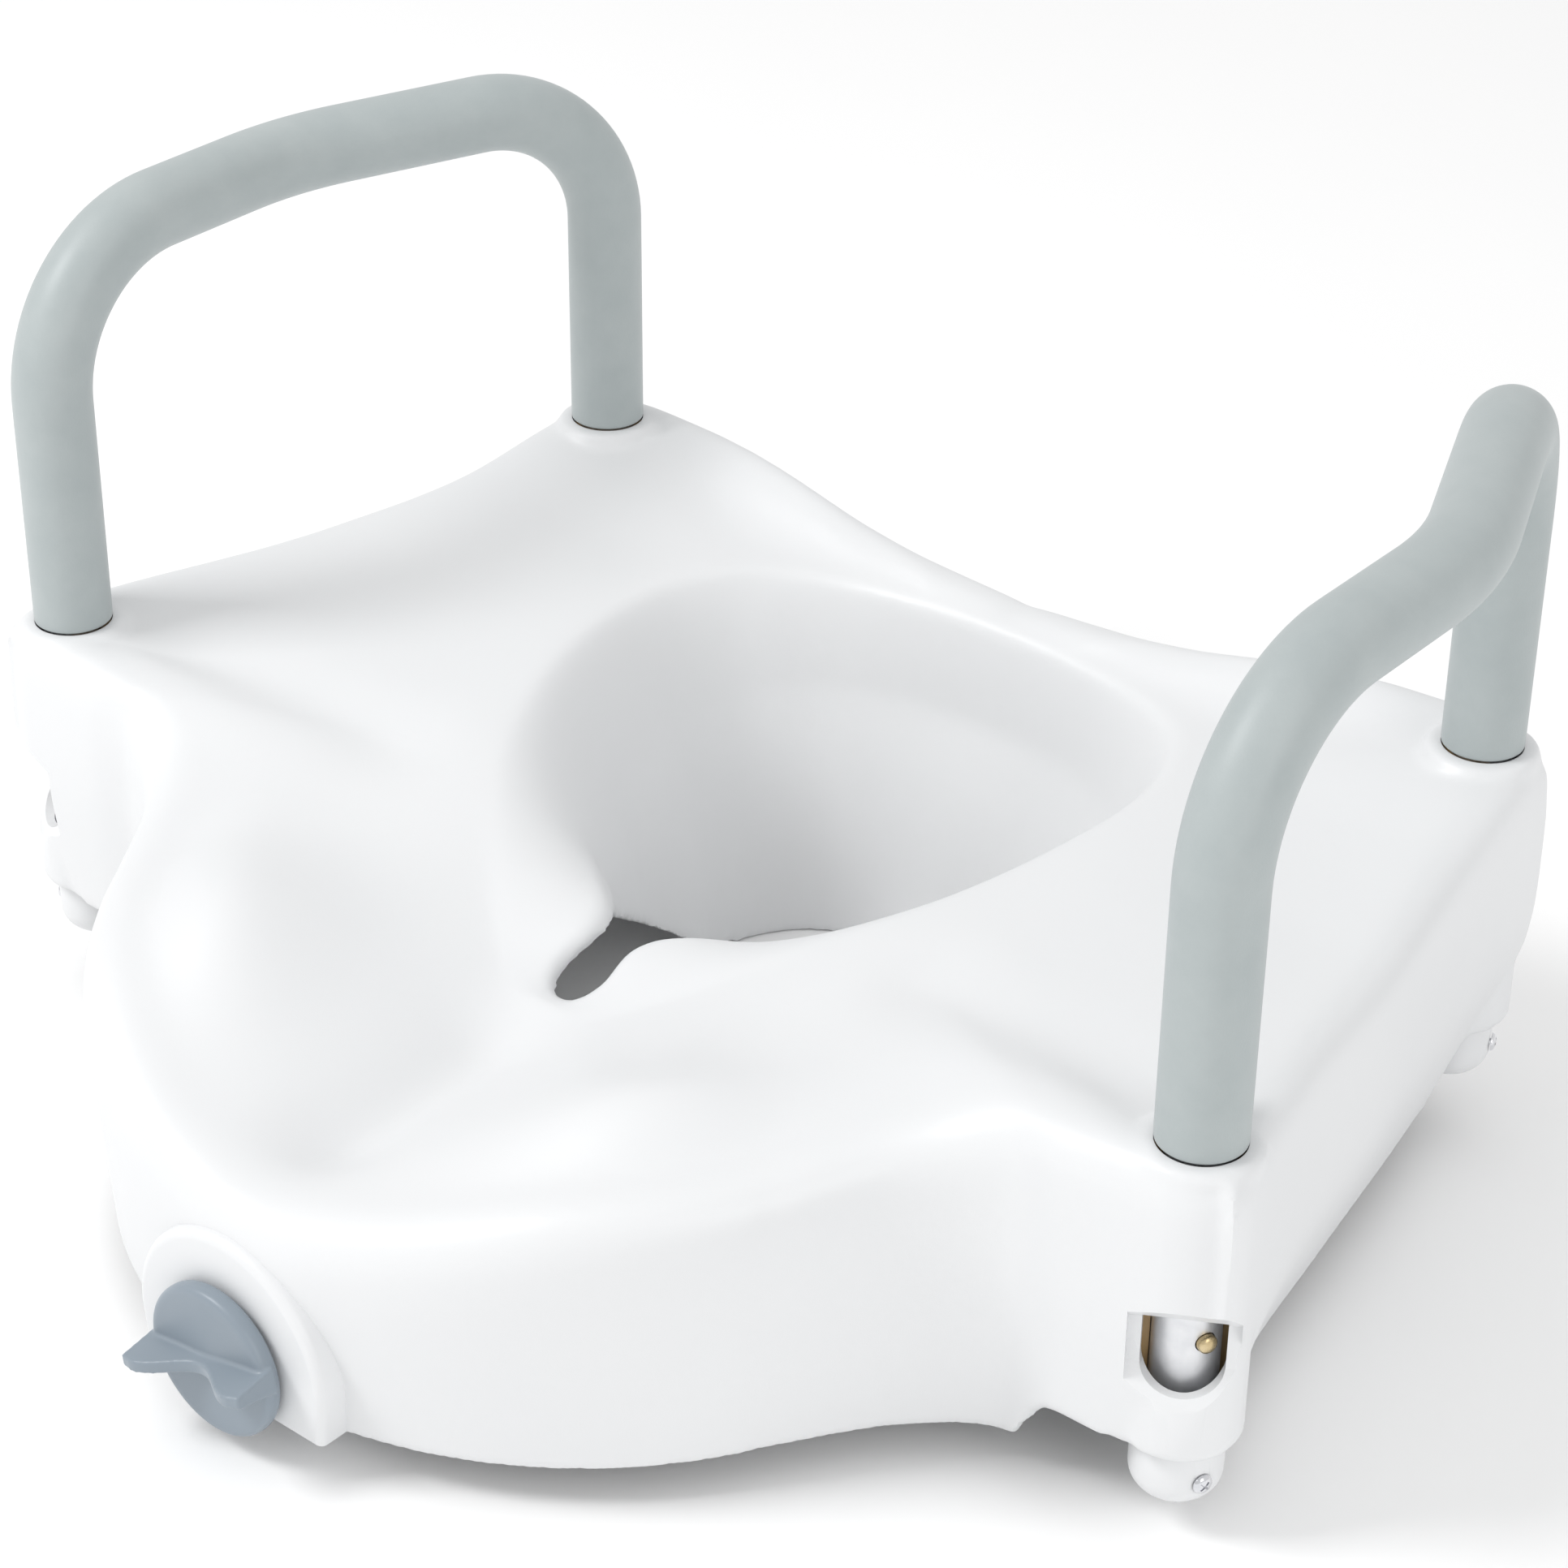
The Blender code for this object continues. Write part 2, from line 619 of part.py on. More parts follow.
def button_spring(name, sign, end, x, y, top):
    """A folded leaf behind the button, a V in the plane of the button's axis."""
    half, tip_z, low = LEAF_THICKNESS / 2, FLANGE_RADIUS + FLANGE_THICKNESS, -LEAF_DEPTH
    spread, knee = LEAF_SPREAD, LEAF_KNEE
    turns = np.radians(np.linspace(0, -180, 9))
    outer = [(spread + half, tip_z), (spread + half, -tip_z)]
    outer += [((knee + half) * math.cos(t), low + (knee + half) * math.sin(t)) for t in turns]
    outer += [(-spread - half, -tip_z), (-spread - half, tip_z)]
    inner = [(-spread + half, tip_z), (-spread + half, -tip_z)]
    inner += [((knee - half) * math.cos(t), low + (knee - half) * math.sin(t)) for t in turns[::-1]]
    inner += [(spread - half, -tip_z), (spread - half, tip_z)]
    made = extruded(f"button_spring_{name}", outer + inner, LEAF_WIDTH, SPRING_STEEL)
    heading = outward(sign, end, BUTTON_TURN)
    turn = Matrix.Rotation(math.atan2(heading.y, heading.x), 4, "Z")
    centre = Matrix.Translation((x, y, top - BUTTON_DEPTH))
    made.matrix_local = centre @ turn @ Matrix.Rotation(math.pi / 2, 4, "X")
    return made


def socket_liner(name, sign, end, x, y, top):
    """A C-shaped packing strip that takes up the play between the tube and its socket."""
    half = LINER_OPENING / 2
    turns = np.radians(np.linspace(half, 360 - half, 15))
    outline = [(LINER_OUTER * math.cos(t), LINER_OUTER * math.sin(t)) for t in turns]
    outline += [(LINER_INNER * math.cos(t), LINER_INNER * math.sin(t)) for t in turns[::-1]]
    made = extruded(f"socket_liner_{name}", outline, LINER_DEPTH, TAN_NYLON)
    heading = outward(sign, end, LINER_TURN)
    made.location = (x, y, top - LINER_DEPTH / 2 - 0.002)
    made.rotation_euler = (0, 0, math.atan2(heading.y, heading.x))
    return made


def socket_cap(name, sign, end, x, y, top):
    """The cup that closes the foot of a socket."""
    outer, rim, foot = CAP_RADIUS, -POST_DEPTH - GAP, -CAP_END
    inner, floor = SPIGOT_RADIUS + GAP, -SPIGOT_END - GAP
    wall = [(inner, floor), (inner, rim), (outer, rim), (outer, foot + 0.007)]
    corner = [(outer - 0.0018, foot + 0.0030), (outer - 0.0055, foot + 0.0006)]
    profile = [(0, floor), *wall, *corner, (0, foot)]
    made = turned(f"socket_cap_{name}", profile, WHITE_PLASTIC, 24)
    place(made, (x, y, top))
    mesh = rod_mesh("cap_hole", PILOT_RADIUS + SCREW_PLAY, CAP_RADIUS + 0.005, 12)
    hole = add(f"cap_hole_{name}", mesh, None, GUIDES)
    place(hole, (x, y, top - SCREW_DEPTH), outward(sign, end, BUTTON_TURN))
    boolean(made, hole, "DIFFERENCE")
    return made


def cap_screw(name, sign, end, x, y, top):
    """A short self-tapping screw through the wall of a socket cap."""
    shank, head, seat = SCREW_SHANK, SCREW_HEAD, CAP_RADIUS + GAP
    crown = [(0, seat + 0.0018), (head * 0.6, seat + 0.0016), (head, seat + 0.0006)]
    body = [(head, seat), (shank, seat), (shank, 0.0050), (0, 0.0050)]
    made = turned(f"cap_screw_{name}", crown + body, BRIGHT_STEEL, 16)
    return place(made, (x, y, top - SCREW_DEPTH), outward(sign, end, BUTTON_TURN))


# ---------------------------------------------------------------- front clamp
def knob():
    """A round knob with a bow-shaped grip across its face."""
    back = BOSS_FACE - WASHER_THICKNESS - 2 * GAP
    edge, hub = KNOB_RADIUS, SHAFT_RADIUS + GAP
    bore_end = back - SHAFT_START + GAP
    rim = [(0, KNOB_DEPTH), (edge - 0.0035, KNOB_DEPTH), (edge - 0.0008, KNOB_DEPTH - 0.0015)]
    rim += [(edge, KNOB_DEPTH - 0.0035), (edge, 0.0008), (edge - 0.0008, 0)]
    made = turned("clamp_knob", rim + [(hub, 0), (hub, bore_end), (0, bore_end)], GREY_PLASTIC)
    place(made, (0, back, AXIS_Z), (0, -1, 0))
    half, top, waist = edge + 0.001, GRIP_REACH, GRIP_REACH - 0.0085
    outline = [(-half + 0.002, 0.0045), (half - 0.002, 0.0045), (half, top - 0.006)]
    outline += [(half - 0.0035, top), (half - 0.010, top - 0.001), (0.006, waist)]
    outline += [(-x, y) for x, y in outline[:1:-1]]
    grip = extruded("knob_grip", outline, GRIP_THICKNESS, None, GUIDES)
    lift = Matrix.Translation((0, back, AXIS_Z))
    lean = Matrix.Rotation(math.radians(-GRIP_TURN), 4, "Y")
    grip.matrix_local = lift @ lean @ Matrix.Scale(-1, 4, (0, 1, 0)) @ Matrix.Scale(-1, 4, (0, 0, 1))
    boolean(made, grip, "UNION")
    return made


def ring(name, inner, outer, thickness, finish, y):
    profile = [(outer, thickness), (outer, 0), (inner, 0), (inner, thickness)]
    made = turned(name, profile, finish, 28)
    return place(made, (0, y, AXIS_Z), (0, -1, 0))


def clamp_screw():
    mesh = rod_mesh("clamp_screw", SHAFT_RADIUS, SHAFT_END - SHAFT_START, 24)
    made = add("clamp_screw", mesh, BRIGHT_STEEL)
    return place(made, (0, SHAFT_END, AXIS_Z), (0, -1, 0))


def clamp_nut():
    bm = bmesh.new()
    bmesh.ops.create_cone(
        bm,
        cap_ends=True,
        segments=6,
        radius1=NUT_RADIUS,
        radius2=NUT_RADIUS,
        depth=NUT_THICKNESS,
    )
    made = add("clamp_nut", mesh_from(bm, "clamp_nut"), BRIGHT_STEEL)
    place(made, (0, BLOCK_Y[0] + NUT_THICKNESS / 2, AXIS_Z), (0, -1, 0))
    hole = add("nut_hole", rod_mesh("nut_hole", SHAFT_RADIUS + GAP, 0.02), None, GUIDES)
    place(hole, (0, BLOCK_Y[0] - 0.005, AXIS_Z), (0, 1, 0))
    boolean(made, hole, "DIFFERENCE")
    return made


def clamp_bracket():
    """The block that slides between the rails, with the jaw plate on its back."""
    low = (-BLOCK_HALF_WIDTH, BLOCK_Y[0], BLOCK_Z[0])
    high = (BLOCK_HALF_WIDTH, BLOCK_Y[1], BLOCK_Z[1])
    made = add("clamp_bracket", box_mesh("clamp_bracket", low, high), WHITE_PLASTIC)
    set_origin(made, (0, BLOCK_Y[0], AXIS_Z))
    low = (-JAW_HALF_WIDTH, BLOCK_Y[1] - 0.0005, JAW_Z[0])
    high = (JAW_HALF_WIDTH, BLOCK_Y[1] + JAW_THICKNESS, JAW_Z[1])
    jaw = add("jaw_plate", box_mesh("jaw_plate", low, high), None, GUIDES)
    boolean(made, jaw, "UNION")
    pocket = add("nut_pocket", rod_mesh("nut_pocket", NUT_RADIUS + 2 * GAP, 0.02, 6), None, GUIDES)
    depth = NUT_THICKNESS + GAP
    place(pocket, (0, BLOCK_Y[0] + depth, AXIS_Z), (0, -1, 0))
    boolean(made, pocket, "DIFFERENCE")
    mesh = rod_mesh("shaft_room", SHAFT_RADIUS + 2 * GAP, 0.05)
    room = add("shaft_room", mesh, None, GUIDES)
    place(room, (0, BLOCK_Y[1] + 0.001, AXIS_Z), (0, -1, 0))
    boolean(made, room, "DIFFERENCE")
    return made


def clamp_pad():
    """The rubber facing that presses on the front of the bowl's rim."""
    front = BLOCK_Y[1] + JAW_THICKNESS + GAP
    inset = 0.002
    low = (-JAW_HALF_WIDTH + inset, front, JAW_Z[0] + 0.001)
    high = (JAW_HALF_WIDTH - inset, front + JAW_PAD_THICKNESS, JAW_Z[1] - 0.001)
    made = add("clamp_pad", box_mesh("clamp_pad", low, high), DARK_RUBBER)
    edge = made.modifiers.new("edge", "BEVEL")
    edge.width = 2 * GAP
    edge.segments = 1
    return set_origin(made, (0, front, AXIS_Z))


def rim_pad(name, x, y):
    """A rubber foot that stands on the bowl's rim."""
    foot, edge = -PAD_THICKNESS, PAD_RADIUS
    profile = [(0, 0), (edge - 0.001, 0), (edge, -0.001), (edge, foot + 0.0012)]
    made = turned(name, profile + [(edge - 0.0012, foot), (0, foot)], DARK_RUBBER, 24)
    return place(made, (x, y, PAD_TOP - GAP))


def build():
    seat_shell()
    for side, sign in (("left", -1), ("right", 1)):
        arm_tube(side, sign)
        arm_sleeve(side, sign)
        for end, (x, y) in zip(("front", "back"), PAD_PLACES):
            rim_pad(f"rim_pad_{end}_{side}", sign * x, y)
    for leg in leg_places():
        snap_button(*leg)
        button_spring(*leg)
        socket_liner(*leg)
        socket_cap(*leg)
        cap_screw(*leg)
    knob()
    washer_y = BOSS_FACE - GAP
    hub = SHAFT_RADIUS + GAP
    ring("knob_washer", hub, WASHER_RADIUS, WASHER_THICKNESS, BRIGHT_STEEL, washer_y)
    clip_y = BOSS_BACK + CLIP_THICKNESS + GAP
    ring("screw_clip", hub, CLIP_RADIUS, CLIP_THICKNESS, SPRING_STEEL, clip_y)
    clamp_screw()
    clamp_nut()
    clamp_bracket()
    clamp_pad()


build()
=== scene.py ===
"""Looks of the raised toilet seat: fine surfaces and materials over the fixed CAD frame.

Everything is in metres. Positions come from the frame's boxes; shapes are drawn about a datum
midway between the four arm legs, level with the front socket tops.
"""

import math

import bmesh
import bpy
import numpy as np
from mathutils import Matrix, Vector


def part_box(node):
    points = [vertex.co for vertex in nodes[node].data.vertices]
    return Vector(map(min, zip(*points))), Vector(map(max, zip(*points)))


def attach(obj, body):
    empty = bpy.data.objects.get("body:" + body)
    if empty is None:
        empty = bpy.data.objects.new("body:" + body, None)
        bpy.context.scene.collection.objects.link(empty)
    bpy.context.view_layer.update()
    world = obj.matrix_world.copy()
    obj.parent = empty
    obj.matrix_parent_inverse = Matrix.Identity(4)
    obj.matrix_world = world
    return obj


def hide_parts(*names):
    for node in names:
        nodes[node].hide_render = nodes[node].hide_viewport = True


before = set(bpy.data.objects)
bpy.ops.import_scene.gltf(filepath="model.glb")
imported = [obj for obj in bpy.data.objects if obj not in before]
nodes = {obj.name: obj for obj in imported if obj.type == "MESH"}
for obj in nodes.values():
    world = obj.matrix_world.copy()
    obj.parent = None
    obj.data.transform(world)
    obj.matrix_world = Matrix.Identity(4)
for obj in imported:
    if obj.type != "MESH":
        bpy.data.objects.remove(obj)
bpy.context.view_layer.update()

# ---------------------------------------------------------------- sizes shared with the frame
GAP = 0.0003
POST_RADIUS = 0.020
POST_DEPTH = 0.108
BORE_RADIUS = 0.0142
BORE_DEPTH = 0.104
SPIGOT_RADIUS = 0.009
SPIGOT_END = 0.127
SCREW_DEPTH = 0.120
CAP_RADIUS = 0.015
CAP_END = 0.132
WINDOW_TURN = {"front": 30.0, "back": 5.0}  # degrees outward from straight ahead or behind
BUTTON_TURN = 66.0
BUTTON_DEPTH = 0.068
BUTTON_RADIUS = 0.0032
TUBE_RADIUS = 0.011
TUBE_WALL = 0.0015
SLEEVE_RADIUS = 0.0143
SLEEVE_START = 0.0004
ARM_TOPS = (0.142, 0.145, 0.150)  # front corner, middle and back corner of the tube's axis
ARM_MID = (0.2507, 0.0)
BENDS = (0.057, 0.112, 0.050)
SHELL_THICKNESS = 0.004
KNOB_RADIUS = 0.027
BOSS_HALF_WIDTH = 0.042
BOSS_RISE = 0.043
WASHER_ROOM = 0.0014  # between the knob and the boss
SHAFT_HOLE_RADIUS = 0.0053

LEG_NAMES = [f"{end}_{side}" for end in ("front", "back") for side in ("left", "right")]


def leg_axis(name):
    """A leg's x and y, and its socket top's z, from its cap."""
    low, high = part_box(f"socket_cap_{name}")
    return (low[0] + high[0]) / 2, (low[1] + high[1]) / 2, high[2] + POST_DEPTH + GAP


LEG_AXES = {name: leg_axis(name) for name in LEG_NAMES}
FRONT_Y, FRONT_TOP = LEG_AXES["front_right"][1:]
BACK_Y = LEG_AXES["back_right"][1]
DATUM = Vector((0, (FRONT_Y + BACK_Y) / 2, FRONT_TOP))
LEGS = {name: Vector(axis) - DATUM for name, axis in LEG_AXES.items()}
FRONT_LEG = LEGS["front_right"]
BACK_LEG = LEGS["back_right"]
KNOB_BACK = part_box("clamp_knob")[1][1] - DATUM.y
AXIS_Z = (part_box("clamp_screw")[0][2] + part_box("clamp_screw")[1][2]) / 2 - DATUM.z
BOSS_FACE = KNOB_BACK + WASHER_ROOM


# ---------------------------------------------------------------- helpers
def outward(name, degrees):
    """A level direction turned outward from straight ahead, or from straight behind."""
    end, side = name.split("_")
    turn = math.radians(degrees)
    sign = 1 if side == "right" else -1
    ahead = -1 if end == "front" else 1
    return Vector((sign * math.sin(turn), ahead * math.cos(turn), 0))


def add(name, mesh, finish=None):
    made = bpy.data.objects.new(name, mesh)
    bpy.context.scene.collection.objects.link(made)
    if finish:
        mesh.materials.clear()
        mesh.materials.append(finish)
    return made


def mesh_of(name, points, faces):
    mesh = bpy.data.meshes.new(name)
    mesh.from_pydata([tuple(p) for p in points], [], [tuple(f) for f in faces])
    mesh.update()
    return mesh


def evaluated(made):
    """The object's mesh with its modifiers applied; the object goes."""
    bpy.context.view_layer.update()
    seen = made.evaluated_get(bpy.context.evaluated_depsgraph_get())
    mesh = bpy.data.meshes.new_from_object(seen)
    mesh.transform(made.matrix_world)
    bpy.data.objects.remove(made)
    return mesh


def positions(mesh):
    flat = np.empty(len(mesh.vertices) * 3)
    mesh.vertices.foreach_get("co", flat)
    return flat.reshape(-1, 3)


def set_positions(mesh, points):
    mesh.vertices.foreach_set("co", np.ascontiguousarray(points).ravel())
    mesh.update()


def edge_ends(mesh):
    ends = np.empty(len(mesh.edges) * 2, dtype=np.int64)
    mesh.edges.foreach_get("vertices", ends)
    return ends.reshape(-1, 2)


def relax(mesh, rounds, pull=0.5, push=-0.51):
    """Smooths without shrinking: each round averages neighbours, then pushes back."""
    points, ends = positions(mesh), edge_ends(mesh)
    count = np.bincount(ends.ravel(), minlength=len(points))[:, None]
    for _ in range(rounds):
        for amount in (pull, push):
            total = np.zeros_like(points)
            for axis in range(3):
                total[:, axis] += np.bincount(ends[:, 0], points[ends[:, 1], axis], len(points))
                total[:, axis] += np.bincount(ends[:, 1], points[ends[:, 0], axis], len(points))
            points = points + amount * (total / count - points)
    set_positions(mesh, points)


def smooth(mesh, angle):
    """Smooth shading, with edges sharper than an angle in degrees kept sharp."""
    mesh.shade_smooth()
    mesh.set_sharp_from_angle(angle=math.radians(angle))
    return mesh


def turned_mesh(name, profile, sides=64):
    """A closed profile of (radius, z) points turned about Z, from the axis round to the axis."""
    rings, points, faces = [], [], []
    for radius, z in profile:
        if radius < 1e-7:
            rings.append([len(points)] * sides)
            points.append((0, 0, z))
            continue
        rings.append(list(range(len(points), len(points) + sides)))
        turns = np.linspace(0, 2 * math.pi, sides, endpoint=False)
        points += [(radius * math.cos(t), radius * math.sin(t), z) for t in turns]
    pairs = list(zip(rings, rings[1:]))
    if profile[0][0] > 1e-7:
        pairs.append((rings[-1], rings[0]))
    for upper, lower in pairs:
        for k in range(sides):
            after = (k + 1) % sides
            corner = [upper[k], lower[k], lower[after], upper[after]]
            faces.append(list(dict.fromkeys(corner)))
    return mesh_of(name, points, faces)


def rounded(profile, radius, steps=4):
    """Rounds the inner corners of an open profile."""
    points = [Vector(p) for p in profile]
    out = [points[0]]
    for before, corner, after in zip(points, points[1:], points[2:]):
        first, second = before - corner, after - corner
        reach = min(radius, 0.45 * first.length, 0.45 * second.length)
        start, end = corner + first.normalized() * reach, corner + second.normalized() * reach
        for k in range(steps + 1):
            t = k / steps
            out.append((1 - t) ** 2 * start + 2 * t * (1 - t) * corner + t * t * end)
    out.append(points[-1])
    return [tuple(p) for p in out]


def prism(name, outline, low, high):
    """A flat outline of (x, y) points run along Z."""
    n = len(outline)
    points = [(x, y, low) for x, y in outline] + [(x, y, high) for x, y in outline]
    faces = [list(range(n))[::-1], list(range(n, 2 * n))]
    faces += [[k, (k + 1) % n, n + (k + 1) % n, n + k] for k in range(n)]
    return mesh_of(name, points, faces)


# Turns that stand a prism on edge: its outline moves to the YZ plane, or to the XZ plane.
TO_YZ = Matrix(((0, 0, 1, 0), (1, 0, 0, 0), (0, 1, 0, 0), (0, 0, 0, 1)))
TO_XZ = Matrix(((1, 0, 0, 0), (0, 0, -1, 0), (0, 1, 0, 0), (0, 0, 0, 1)))


def stand(direction):
    """A rotation that turns +Z to a direction."""
    return Vector((0, 0, 1)).rotation_difference(Vector(direction)).to_matrix().to_4x4()


def boolean(target, tool, operation):
    step = target.modifiers.new(operation.lower(), "BOOLEAN")
    step.operation = operation
    step.object = tool
    step.solver = "EXACT"


def join_meshes(name, meshes):
    bm = bmesh.new()
    for mesh in meshes:
        bm.from_mesh(mesh)
    joined = bpy.data.meshes.new(name)
    bm.to_mesh(joined)
    bm.free()
    return joined


def outward_faces(mesh):
    bm = bmesh.new()
    bm.from_mesh(mesh)
    bmesh.ops.recalc_face_normals(bm, faces=bm.faces)
    bm.to_mesh(mesh)
    bm.free()
    return mesh


# ---------------------------------------------------------------- materials
def new_material(name, colour, roughness, metallic=0.0):
    made = bpy.data.materials.new(name)
    made.use_nodes = True
    shader = made.node_tree.nodes["Principled BSDF"]
    shader.inputs["Base Color"].default_value = (*colour, 1)
    shader.inputs["Roughness"].default_value = roughness
    shader.inputs["Metallic"].default_value = metallic
    return made, made.node_tree, shader


def noise(tree, scale, detail=3.0, rough=0.5, vector=None):
    made = tree.nodes.new("ShaderNodeTexNoise")
    made.inputs["Scale"].default_value = scale
    made.inputs["Detail"].default_value = detail
    made.inputs["Roughness"].default_value = rough
    tree.links.new(vector or coordinates(tree), made.inputs["Vector"])
    return made.outputs["Fac"]


def coordinates(tree):
    found = tree.nodes.get("place")
    if not found:
        found = tree.nodes.new("ShaderNodeTexCoord")
        found.name = "place"
    return found.outputs["Object"]


def ramp(tree, value, low, high, start, end):
    """Maps a value between two limits to a colour between two."""
    made = tree.nodes.new("ShaderNodeValToRGB")
    made.color_ramp.elements[0].position = low
    made.color_ramp.elements[1].position = high
    made.color_ramp.elements[0].color = (*start, 1)
    made.color_ramp.elements[1].color = (*end, 1)
    tree.links.new(value, made.inputs["Fac"])
    return made.outputs["Color"]


def spread(tree, value, low, high):
    """Maps 0..1 to a range of numbers."""
    made = tree.nodes.new("ShaderNodeMapRange")
    made.inputs["To Min"].default_value = low
    made.inputs["To Max"].default_value = high
    tree.links.new(value, made.inputs["Value"])
    return made.outputs["Result"]


def bump(tree, shader, height, strength, distance):
    made = tree.nodes.new("ShaderNodeBump")
    made.inputs["Strength"].default_value = strength
    made.inputs["Distance"].default_value = distance
    tree.links.new(height, made.inputs["Height"])
    tree.links.new(made.outputs["Normal"], shader.inputs["Normal"])


def moulded_plastic(name, colour, shade, roughness, grain=2600, depth=0.00006):
    """Moulded plastic: a fine even grain, faint flow marks and uneven gloss."""
    made, tree, shader = new_material(name, colour, roughness)
    flow = noise(tree, 9.0, 2.0)
    tree.links.new(ramp(tree, flow, 0.30, 0.70, shade, colour), shader.inputs["Base Color"])
    gloss = noise(tree, 60.0, 4.0)
    tree.links.new(spread(tree, gloss, roughness - 0.05, roughness + 0.07), shader.inputs["Roughness"])
    bump(tree, shader, noise(tree, grain, 2.0, 0.6), 0.35, depth)
    return made


def foam(name, colour, shade):
    """Closed-cell foam: a soft sheen, faint mottling and fine pores."""
    made, tree, shader = new_material(name, colour, 0.45)
    shader.inputs["Sheen Weight"].default_value = 0.10
    shader.inputs["Sheen Roughness"].default_value = 0.5
    mottle = noise(tree, 45.0, 5.0, 0.6)
    tree.links.new(ramp(tree, mottle, 0.30, 0.72, shade, colour), shader.inputs["Base Color"])
    tree.links.new(spread(tree, mottle, 0.38, 0.52), shader.inputs["Roughness"])
    pores = tree.nodes.new("ShaderNodeTexVoronoi")
    pores.inputs["Scale"].default_value = 1500.0
    tree.links.new(coordinates(tree), pores.inputs["Vector"])
    bump(tree, shader, pores.outputs["Distance"], 0.20, 0.00010)
    return made


def drawn_metal(name, colour, shade, roughness, stretch=(1.0, 1.0, 0.04), scale=1800):
    """Metal with fine lines along its length and small dull patches."""
    made, tree, shader = new_material(name, colour, roughness, 1.0)
    mapping = tree.nodes.new("ShaderNodeMapping")
    mapping.inputs["Scale"].default_value = stretch
    tree.links.new(coordinates(tree), mapping.inputs["Vector"])
    lines = noise(tree, scale, 3.0, 0.6, mapping.outputs["Vector"])
    patches = noise(tree, 130.0, 4.0)
    tree.links.new(ramp(tree, patches, 0.32, 0.62, shade, colour), shader.inputs["Base Color"])
    tree.links.new(spread(tree, lines, roughness - 0.07, roughness + 0.10), shader.inputs["Roughness"])
    bump(tree, shader, lines, 0.25, 0.00003)
    return made


def soft_rubber(name, colour, shade):
    made, tree, shader = new_material(name, colour, 0.75)
    dust = noise(tree, 240.0, 4.0, 0.65)
    tree.links.new(ramp(tree, dust, 0.35, 0.75, colour, shade), shader.inputs["Base Color"])
    tree.links.new(spread(tree, dust, 0.66, 0.88), shader.inputs["Roughness"])
    bump(tree, shader, noise(tree, 2200.0, 2.0), 0.4, 0.0001)
    return made


WHITE = moulded_plastic("white_plastic", (0.765, 0.772, 0.780), (0.750, 0.758, 0.768), 0.40)
CAP_WHITE = moulded_plastic("cap_plastic", (0.760, 0.768, 0.776), (0.745, 0.752, 0.762), 0.34)
FOAM = foam("grey_foam", (0.415, 0.455, 0.456), (0.375, 0.417, 0.420))
KNOB_GREY = moulded_plastic("grey_plastic", (0.250, 0.295, 0.340), (0.235, 0.278, 0.322), 0.36)
ALUMINIUM = drawn_metal("satin_aluminium", (0.80, 0.805, 0.82), (0.72, 0.73, 0.75), 0.42)
BRASS = drawn_metal("brass", (0.72, 0.60, 0.38), (0.55, 0.43, 0.24), 0.26)
SPRING = drawn_metal("spring_steel", (0.42, 0.42, 0.44), (0.34, 0.34, 0.35), 0.30)
BRIGHT = drawn_metal("bright_steel", (0.80, 0.80, 0.82), (0.68, 0.69, 0.72), 0.16)
RUBBER = soft_rubber("dark_rubber", (0.035, 0.036, 0.038), (0.070, 0.071, 0.074))
NYLON = moulded_plastic("tan_nylon", (0.36, 0.24, 0.11), (0.30, 0.19, 0.08), 0.45)

FINISHES = {
    "seat_shell": WHITE,
    "socket_cap": CAP_WHITE,
    "clamp_bracket": WHITE,
    "arm_tube": ALUMINIUM,
    "arm_sleeve": FOAM,
    "rim_pad": RUBBER,
    "clamp_pad": RUBBER,
    "snap_button": BRASS,
    "button_spring": SPRING,
    "socket_liner": NYLON,
    "cap_screw": BRIGHT,
    "clamp_knob": KNOB_GREY,
    "knob_washer": BRIGHT,
    "screw_clip": SPRING,
    "clamp_screw": BRIGHT,
    "clamp_nut": BRIGHT,
}
for name, node in nodes.items():
    finish = next(value for start, value in FINISHES.items() if name.startswith(start))
    node.data.materials.clear()
    node.data.materials.append(finish)


# ---------------------------------------------------------------- seat body outlines
POLE_Y = -0.020  # the radial sections meet on this line
NOSE_Y = -0.110
FOOT_Z = -0.129
WING_Z = -0.108
BELT_Z = -0.060


def arc(centre, radius, first, last, steps):
    """Points of an arc, by angle in degrees from straight ahead towards +X."""
    turns = np.radians(np.linspace(first, last, steps))
    return [(centre[0] + radius * math.sin(t), centre[1] - radius * math.cos(t)) for t in turns]


def belt_outline():
    """The body's widest outline, right half, from the nose to the middle of the back."""
    nose = arc((0, NOSE_Y), 0.1675, 0, 62, 16)
    wing = [(0.1680, -0.1570), (0.1950, -0.1385), (0.2200, -0.1392)]
    corner = arc(FRONT_LEG, POST_RADIUS - 0.0004, 0, 78, 6)
    sides = [(0.2530, -0.0600), (0.2420, 0.0000), (0.2290, 0.0600)]
    back_corner = arc(BACK_LEG, POST_RADIUS - 0.0004, 102, 176, 5)
    back = [(0.1700, 0.1370), (0.1000, 0.1340), (0.0, 0.1340)]
    return nose + wing + corner + sides + back_corner + back


def foot_outline():
    """The outline of the lower edge, drawn in from the widest outline."""
    nose = arc((0, NOSE_Y), 0.1630, 0, 62, 16)
    wing = [(0.1670, -0.1540), (0.1930, -0.1335), (0.2200, -0.1360)]
    sides = [(0.2480, -0.1300), (0.2500, -0.1080), (0.2310, -0.0600), (0.2190, 0.0000)]
    back = [(0.2080, 0.0600), (0.2010, 0.0950), (0.1980, 0.1150), (0.1860, 0.1240)]
    return nose + wing + sides + back + [(0.1400, 0.1240), (0.0700, 0.1230), (0.0, 0.1230)]


